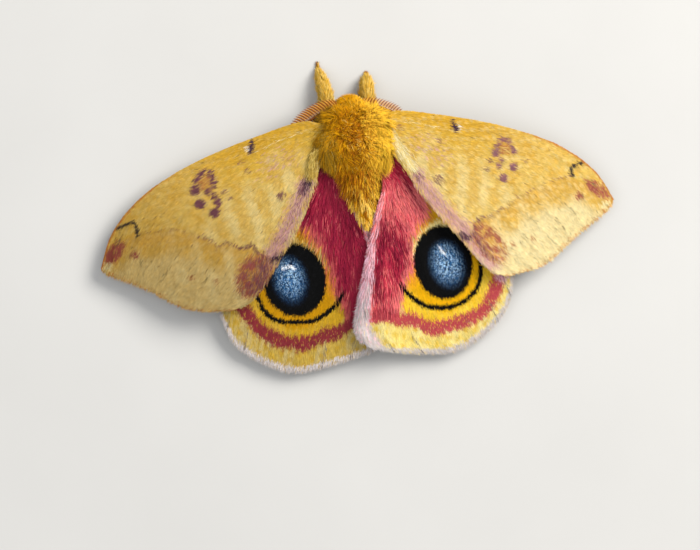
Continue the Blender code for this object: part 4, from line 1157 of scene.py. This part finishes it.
def addTube(name, surface, sides, stations):
    # a closed tube whose rings follow the surface function
    u = np.tile(np.arange(sides) / sides, stations)
    v = np.repeat(np.linspace(0, 1, stations), sides)
    points = toScene(surface(u, v)[0])
    faces = []
    for i in range(stations - 1):
        for k in range(sides):
            a, b = i * sides + k, i * sides + (k + 1) % sides
            faces.append((a, b, b + sides, a + sides))
    faces += [tuple(range(sides)), tuple(range(len(points) - sides, len(points)))]
    mesh = bpy.data.meshes.new(name)
    mesh.from_pydata(points.tolist(), [], faces)
    return addObject(name, mesh)


def bodySkin():
    forms = [addOval(*ovals["thorax"]), addOval(*ovals["head"]), addTube("form", abdomenSurface, 28, 30)]
    forms += [addTube("form", legForm(kind, side), 14, 30) for kind, side, word in legs]
    forms += [addTube("form", palpForm(side), 12, 10) for side, word in sides]
    selectOnly(*forms)
    bpy.ops.object.transform_apply(location=True, rotation=True, scale=True)
    bpy.ops.object.join()
    skin = bpy.context.object
    skin.name = skin.data.name = "bodySkin"
    editWhole(skin, bpy.ops.mesh.normals_make_consistent, inside=False)
    applyModifier(skin, "REMESH", mode="VOXEL", voxel_size=bodyShape["remesh"] * mm)
    applyModifier(skin, "SMOOTH", factor=0.5, iterations=4)
    points = vertexPlaces(skin) / mm - origin
    paintMesh(skin.data, bodyPaint(points) * 0.6)
    editWhole(skin, bpy.ops.uv.smart_project, island_margin=0.002)
    skin.data.uv_layers[0].name = "OFBake"
    skin.data.materials.clear()
    skin.data.materials.append(skinChitin)
    skin.data.shade_smooth()
    place(skin, "thorax_fur", "thorax", "abdomen", "head", "palp_left", "palp_right",
          *[f"{kind}_leg_{word}" for kind in ("fore", "mid", "hind") for word in ("left", "right")])
    print(f"bodySkin: {len(skin.data.polygons)} faces")


bodySkin()


def furOn(name, slot, surface, seed, look, painter, thin=None):
    # fur over one form: look gives its length, width, lift, fall with the skin's curve, and how it clumps
    u, v = scatter(surface, look["count"], seed, thin)
    roots, normal, lie, _ = unrollTo(surface, u, v)
    draw = np.random.default_rng(seed + 1)
    wander = look["wander"] * ripple(roots, look["swirl"], seed + 2) + draw.normal(0, look["stray"], len(u))
    if "flow" in look:
        flow = look["flow"](roots)
        lie = unit(flow - normal * (flow * normal).sum(axis=1)[:, None])
    if "muss" in look:
        wander = wander + look["muss"](roots) * draw.normal(0, 1, len(u))
    lie = turned(lie, normal, wander)
    length, lift, width = cut(look, draw, len(u), length=(0.65, 1.2), lift=(0.5, 1.25), width=(0.7, 1.3))
    if "shape" in look:
        length, lift = look["shape"](roots, length, lift)
    curve = bendTufts(roots, normal, lie, length, lift, look["fall"], look["sink"])
    if "locks" in look:
        curve = clump(curve, look["locks"], 0.45, seed + 4)
    curve = clump(curve, look["clumps"], look["pull"], seed + 3)
    colours = painter(roots + normal * lift[:, None], draw)
    places = 0.01 + 0.98 * np.column_stack([u, v])
    growTufts(name, slot, curve, normal, width, colours, (look["rootShade"], 1.12), places, bodyHair,
              look["rings"], 0.5)


def thoraxFlow(points):
    # the coat parts above the head: forward over the face, outward and back everywhere else
    x, y = points[:, 0] - midline, points[:, 1] + 3.1
    return np.column_stack([0.7 * x, y + 0.3 * np.sign(y), -0.5 + 0 * x])


def thoraxParting(points):
    return bell(np.hypot(points[:, 0] - midline, points[:, 1] + 2.6), 0.0, 2.9)


def thoraxShape(points, length, lift):
    # shorter and mussed on the top, standing well out at the flanks, close over the head and the rear
    top = fade(7.0, 8.4, points[:, 2])
    front = fade(-3.0, -4.2, points[:, 1])
    rear = fade(1.4, 3.2, points[:, 1])
    tousle = 0.22 * ripple(points, 1.7, 77) * fade(5.0, 7.0, points[:, 2])
    # on the crown it only lowers the hair, so the coat grows no taller
    crown = fade(6.6, 8.0, points[:, 2])
    tousle = np.minimum(tousle, 0) + np.maximum(tousle, 0) * (1 - crown)
    length = length * (1 - 0.3 * top) * (1 - 0.15 * front) * (1 - 0.25 * rear) * (1 + tousle)
    lift = lift * (1 - 0.35 * top) * (1 - 0.45 * front) * (1 - 0.25 * rear) * (1 + 1.4 * tousle)
    return length * (1 - 0.5 * thoraxParting(points)), lift


thoraxLook = {
    "count": 27000,    # tufts on each half
    "length": 2.7, "width": 0.11, "lift": 1.95, "fall": 0.05, "sink": 0.1, "wander": 0.8, "swirl": 2.0,
    "stray": 0.5, "locks": 0.0035, "clumps": 0.03, "pull": 0.55, "rootShade": 0.58, "rings": (0.45,),
    "flow": thoraxFlow, "shape": thoraxShape, "muss": lambda points: 2.2 * thoraxParting(points),
}
abdomenLook = {
    "count": 7500, "length": 2.4, "width": 0.13, "lift": 0.8, "fall": 0.02, "sink": 0.1, "wander": 0.25,
    "swirl": 2.0, "stray": 0.15, "clumps": 0.1, "pull": 0.5, "rootShade": 0.5, "rings": (0.3, 0.68),
}
headLook = {
    "count": 3200, "length": 0.85, "width": 0.085, "lift": 0.48, "fall": 0.1, "sink": 0.1, "wander": 0.4,
    "swirl": 1.5, "stray": 0.35, "clumps": 0.15, "pull": 0.4, "rootShade": 0.55, "rings": (0.4,),
}


def legShape(points, length, lift):
    # full over thigh and shin, close on the foot
    foot = fade(1.7, 0.35, points[:, 2])
    return length * (1 - 0.55 * foot), lift * (1 - 0.7 * foot)


legLook = {
    "count": 2600, "length": 1.05, "width": 0.085, "lift": 0.64, "fall": 0.05, "sink": 0.08, "wander": 0.15,
    "swirl": 1.5, "stray": 0.34, "clumps": 0.1, "pull": 0.5, "rootShade": 0.58, "rings": (0.4,),
    "shape": legShape,
}
palpLook = {**headLook, "count": 420, "length": 0.5, "lift": 0.2}
thoraxTop = ovalSurface(*ovals["thorax"])


def halfOf(side):
    # one side of the thorax, thinner underneath
    def thin(u, v):
        points = thoraxTop(u, v)[0]
        half = (side * (points[:, 0] - midline) >= 0).astype(float)
        return half * (0.35 + 0.65 * fade(3.6, 5.4, points[:, 2]))
    return thin


def underWings(u, v):
    # the abdomen's fur is thinner where the hindwings cover it
    return 1 - 0.6 * fade(0.35, 0.6, v)


for side, word in sides:
    furOn(f"thoraxFur{word}", "thorax_fur", thoraxTop, 81 + side, thoraxLook, bodyPaint, halfOf(side))
furOn("abdomenFur", "abdomen_fur", abdomenSurface, 85, abdomenLook, bodyPaint, underWings)
furOn("headFur", "head_fur", ovalSurface(*ovals["head"]), 87, headLook, bodyPaint)
for i, (kind, side, word) in enumerate(legs):
    furOn(f"{kind}Fur{word}", "leg_fur", legForm(kind, side), 91 + i, legLook, legPaint)
for side, word in sides:
    furOn(f"palpFur{word}", "head_fur", palpForm(side), 99 + side, palpLook, bodyPaint)


mantleLook = {
    "count": 5200, "seed": 111, "width": 0.085, "reach": (2.0, 3.4), "stray": 0.22,
    # rearward place of the tips, and the mantle's half-width there
    "begin": 2.9, "long": 9.3,
    "halfWidths": [(2.9, 4.2), (5.0, 3.7), (6.5, 3.2), (7.6, 2.65), (9.0, 1.8), (10.2, 1.2), (11.4, 0.7),
                   (12.4, 0.25)],
}


def mantle():
    # long hair from the hind edge of the thorax, over the inner edges of the hindwings, to a point
    count, draw = mantleLook["count"], np.random.default_rng(mantleLook["seed"])
    v = draw.random(count)
    back = mantleLook["begin"] + mantleLook["long"] * v
    half = np.interp(back, *np.array(mantleLook["halfWidths"]).T)
    x = midline + 0.2 + half * np.clip(draw.normal(0, 0.55, count), -1.1, 1.1)
    x = x - 0.12 * np.maximum(x - midline, 0) * fade(9.5, 7.0, back)    # fuller on the right
    end = np.column_stack([x, back, np.zeros(count)])
    cover = np.maximum(wingHeight("hind", 1, end[:, :2]), wingHeight("hind", -1, end[:, :2] * (-1, 1)))
    bump = 0.6 * ripple(end, 1.3, 112)
    end[:, 2] = np.maximum(cover + 0.3, 7.7 - 0.14 * (back - 4)) + 0.1 * bump + 0.25 * (
        1 - ((x - midline) / np.maximum(half, 0.5)) ** 2)
    reach = draw.uniform(*mantleLook["reach"], count)
    start = end.copy()
    start[:, 0] = midline + 0.6 * (x - midline)
    start[:, 1] -= reach
    rings = np.array(bodyShape["abdomenRings"])
    start[:, 2] = np.interp(start[:, 1], rings[:, 0], rings[:, 1] + rings[:, 3]) + 0.1
    middle = 0.35 * start + 0.65 * end
    middle[:, 2] = end[:, 2] + 0.4 + 0.3 * bump
    up = unit(np.column_stack([0.5 * (x - midline), 0 * x, 1.6 + 0 * x]))
    stray = draw.normal(0, mantleLook["stray"], (count, 3))
    curve = clump(clump((start, middle + 0.5 * stray, end + stray), 0.012, 0.5, 114), 0.06, 0.75, 113)
    colours = bodyPaint(end, draw)
    across = (end[:, 0] - end[:, 0].min()) / np.ptp(end[:, 0])
    places = 0.02 + 0.96 * np.column_stack([across, v])
    width = mantleLook["width"] * draw.uniform(0.7, 1.3, count)
    growTufts("mantleFur", "thorax_fur", curve, up, width, colours, (0.45, 1.25), places, bodyHair,
              (0.3, 0.68), 0.5, 0.4)


clawLook = {"length": 0.42, "width": 0.13, "hook": 0.16, "spread": 0.45, "horn": "4A2A14"}    # mm, radians


def claws():
    # two small hooked claws at the end of each foot
    curves = []
    for kind, side, word in legs:
        last, toe = [np.array((midline + side * x, y, z)) for x, y, z in legPath(kind, side)[-2:]]
        forward = unit((toe - last) * (1, 1, 0))
        for angle in (-clawLook["spread"], clawLook["spread"]):
            way = turned(forward[None], upright(1), np.array([angle]))[0]
            curves.append((toe, toe + way * clawLook["length"] * 0.7 + (0, 0, clawLook["hook"]),
                           toe + way * clawLook["length"] + (0, 0, 0.05 - toe[2])))
    count = len(curves)
    up = upright(count)
    horn = np.tile(linear(clawLook["horn"]), (count, 1))
    places = np.column_stack([0.1 + 0.8 * np.arange(count) / count, np.full(count, 0.5)])
    width = np.full(count, clawLook["width"])
    growTufts("claws", "leg_fur", np.array(curves).transpose(1, 0, 2), up, width, horn, (1.0, 0.5), places,
              clawHorn, (0.2, 0.45, 0.7), 0.5, 0.0)


mantle()
claws()
print("coat done")


# Eyes

def eye(side, word):
    radius = bodyFrame["eyeRadius"]
    where = (midline + side * bodyFrame["eyeOut"], bodyFrame["eyeBack"], bodyFrame["eyeHeight"])
    bpy.ops.object.select_all(action="DESELECT")
    bpy.ops.mesh.primitive_ico_sphere_add(subdivisions=5, radius=radius * mm, location=toScene(where))
    made = bpy.context.object
    made.name = made.data.name = f"eye{word}"
    bpy.ops.object.transform_apply(location=True, rotation=True, scale=True)
    made.data.materials.append(eyeGloss)
    made.data.shade_smooth()
    place(made, "eye", f"eye_{word.lower()}")


for side, word in sides:
    eye(side, word)


# Feelers: a shaft with two rows of rami on each side, longest before the middle

feeler = {
    "path": [(1.2, -5.1, 5.5), (3.1, -4.7, 5.4), (5.2, -3.75, 5.2), (7.2, -2.6, 4.9), (9.0, -1.2, 4.6)],
    "shaft": 0.16, "pitch": 0.36, "ramus": {1: 1.95, -1: 1.4}, "taper": {1: 0.0, -1: 0.5},
    "thickness": 0.09, "paleThickness": 0.06, "firstRamus": 0.4, "bareEnds": 0.5, "brown": "9C500A",
    "cream": "E8AC42", "dark": "80440F",
}


def antenna(side, word):
    line = pathThrough([(midline + side * x, y, z) for x, y, z in feeler["path"]])
    length = sum(math.dist(a, b) for a, b in zip(feeler["path"], feeler["path"][1:]))
    form = limbSurface(feeler["path"], [feeler["shaft"]] * 4 + [0.08], side, 1.0)
    shaft = addTube(f"antenna{word}", form, 10, 60)
    shaft.data.shade_smooth()
    paintMesh(shaft.data, np.tile(linear(feeler["dark"]), (len(shaft.data.vertices), 1)))
    shaft.data.uv_layers.new(name="OFBake")
    shaft.data.materials.append(feelerHorn)
    count = int((length - feeler["bareEnds"]) / feeler["pitch"])
    share = np.repeat((feeler["firstRamus"] + np.arange(count) * feeler["pitch"]) / length, 8)
    way = np.tile([-1, -1, -1, -1, 1, 1, 1, 1], count)
    brown = np.tile([1, 1, 0, 0] * 2, count).astype(bool)
    deep = np.tile([0, 1] * 4, count)
    share = share + np.where(brown, 0.0, 0.5 * feeler["pitch"] / length)
    at = line(share)
    forward = heading(line, share)
    across = unit(np.cross(forward, (0, 0, 1)))
    reach = (feeler["ramus"][side] * np.sin(math.pi * np.minimum(1, 0.16 + share * 0.86)) ** 0.7
             * np.where(brown, 1.0, 0.9) * (1 - feeler["taper"][side] * fade(0.5, 0.8, share)))[:, None]
    down = (np.where(deep, 0.6, 0.1) + np.where(brown, 0.0, 0.12))[:, None] * (0, 0, -1)
    middle = at + (across * way[:, None] * 0.55 + forward * 0.1 + down * 0.15) * reach
    end = at + (across * way[:, None] * 0.9 + forward * 0.42 + down * 0.55) * reach
    # cream strands, thinner and shorter, half a pitch between the brown rami
    colours = np.where(brown[:, None], linear(feeler["brown"]), linear(feeler["cream"]))
    width = np.where(brown, feeler["thickness"], feeler["paleThickness"]) * 2
    up = upright(len(at))
    places = np.column_stack([share * 0.9 + 0.05, 0.5 + 0.2 * way])
    growTufts(f"rami{word}", "antenna_cuticle", (at, middle, end), up, width, colours, (0.8, 1.0), places,
              feelerHorn, (0.25, 0.6, 0.85), 0.6, 0.2)
    place(shaft, "antenna_cuticle", f"antenna_{word.lower()}")


for side, word in sides:
    antenna(side, word)
print("head done")


# Stage: pale floor, soft daylight from the moth's right, and the photo's view from above

stageLook = {
    "floor": 3.0,    # width in m
    "sky": "E6EAF0", "skyStrength": 0.46,
    # each lamp's place in m, its size in m, its power in W and its tint
    "keyLight": ((-0.31, -0.18, 0.36), 0.3, 3.6, (1.0, 0.98, 0.94)),
    "fillLight": ((0.22, 0.08, 0.6), 0.7, 2.4, (0.95, 0.97, 1.0)),
}


def stageFloor():
    bpy.ops.object.select_all(action="DESELECT")
    bpy.ops.mesh.primitive_plane_add(size=stageLook["floor"], location=(0, 0, 0))
    floor = bpy.context.object
    floor.name = "floor"
    floor.data.materials.append(floorMaterial())


def areaLight(name):
    # a soft lamp that faces the moth
    data = bpy.data.lights.new(name, "AREA")
    where, data.size, data.energy, data.color = stageLook[name]
    lamp = bpy.data.objects.new(name, data)
    lamp.location = where
    lamp.rotation_euler = (-Vector(where)).to_track_quat("-Z", "Y").to_euler()
    bpy.context.scene.collection.objects.link(lamp)


stageFloor()
areaLight("keyLight")
areaLight("fillLight")
world = bpy.data.worlds.new("softSky")
world.use_nodes = True
world.node_tree.nodes["Background"].inputs["Color"].default_value = (*linear(stageLook["sky"]), 1)
world.node_tree.nodes["Background"].inputs["Strength"].default_value = stageLook["skyStrength"]
bpy.context.scene.world = world
bpy.context.scene.view_settings.view_transform = "Standard"

view = {
    "lens": 120.0, "sensor": 36.0, "imageWidth": 700, "imageHeight": 550,
    "leanLeft": 7.0, "leanBack": 2.0, "roll": -7.4,    # degrees
    "mmPerPixel": 0.131, "anchor": (0, 0, 9.0), "anchorPixel": (354, 140),
}
leans = [math.tan(math.radians(view[name])) for name in ("leanLeft", "leanBack")]
forward = -Vector((*leans, 1)).normalized()
ahead = Vector((0, -1, 0))
ahead = (ahead - forward * ahead.dot(forward)).normalized()
right = forward.cross(ahead)
roll = math.radians(view["roll"])
imageRight = right * math.cos(roll) + ahead * math.sin(roll)
imageUp = ahead * math.cos(roll) - right * math.sin(roll)
distance = view["lens"] / view["sensor"] * view["imageWidth"] * view["mmPerPixel"]
aside = (view["anchorPixel"][0] - view["imageWidth"] / 2) * view["mmPerPixel"]
below = (view["anchorPixel"][1] - view["imageHeight"] / 2) * view["mmPerPixel"]
eyePoint = Vector(view["anchor"]) - forward * distance - imageRight * aside + imageUp * below
cameraData = bpy.data.cameras.new("camera")
cameraData.lens, cameraData.sensor_width, cameraData.sensor_fit = view["lens"], view["sensor"], "HORIZONTAL"
cameraData.clip_start, cameraData.clip_end = 0.01, 20
camera = bpy.data.objects.new("camera", cameraData)
camera.matrix_world = Matrix.Translation((eyePoint + Vector(origin)) * mm) @ Matrix(
    (imageRight, imageUp, -forward)).transposed().to_4x4()
bpy.context.scene.collection.objects.link(camera)
bpy.context.scene.camera = camera
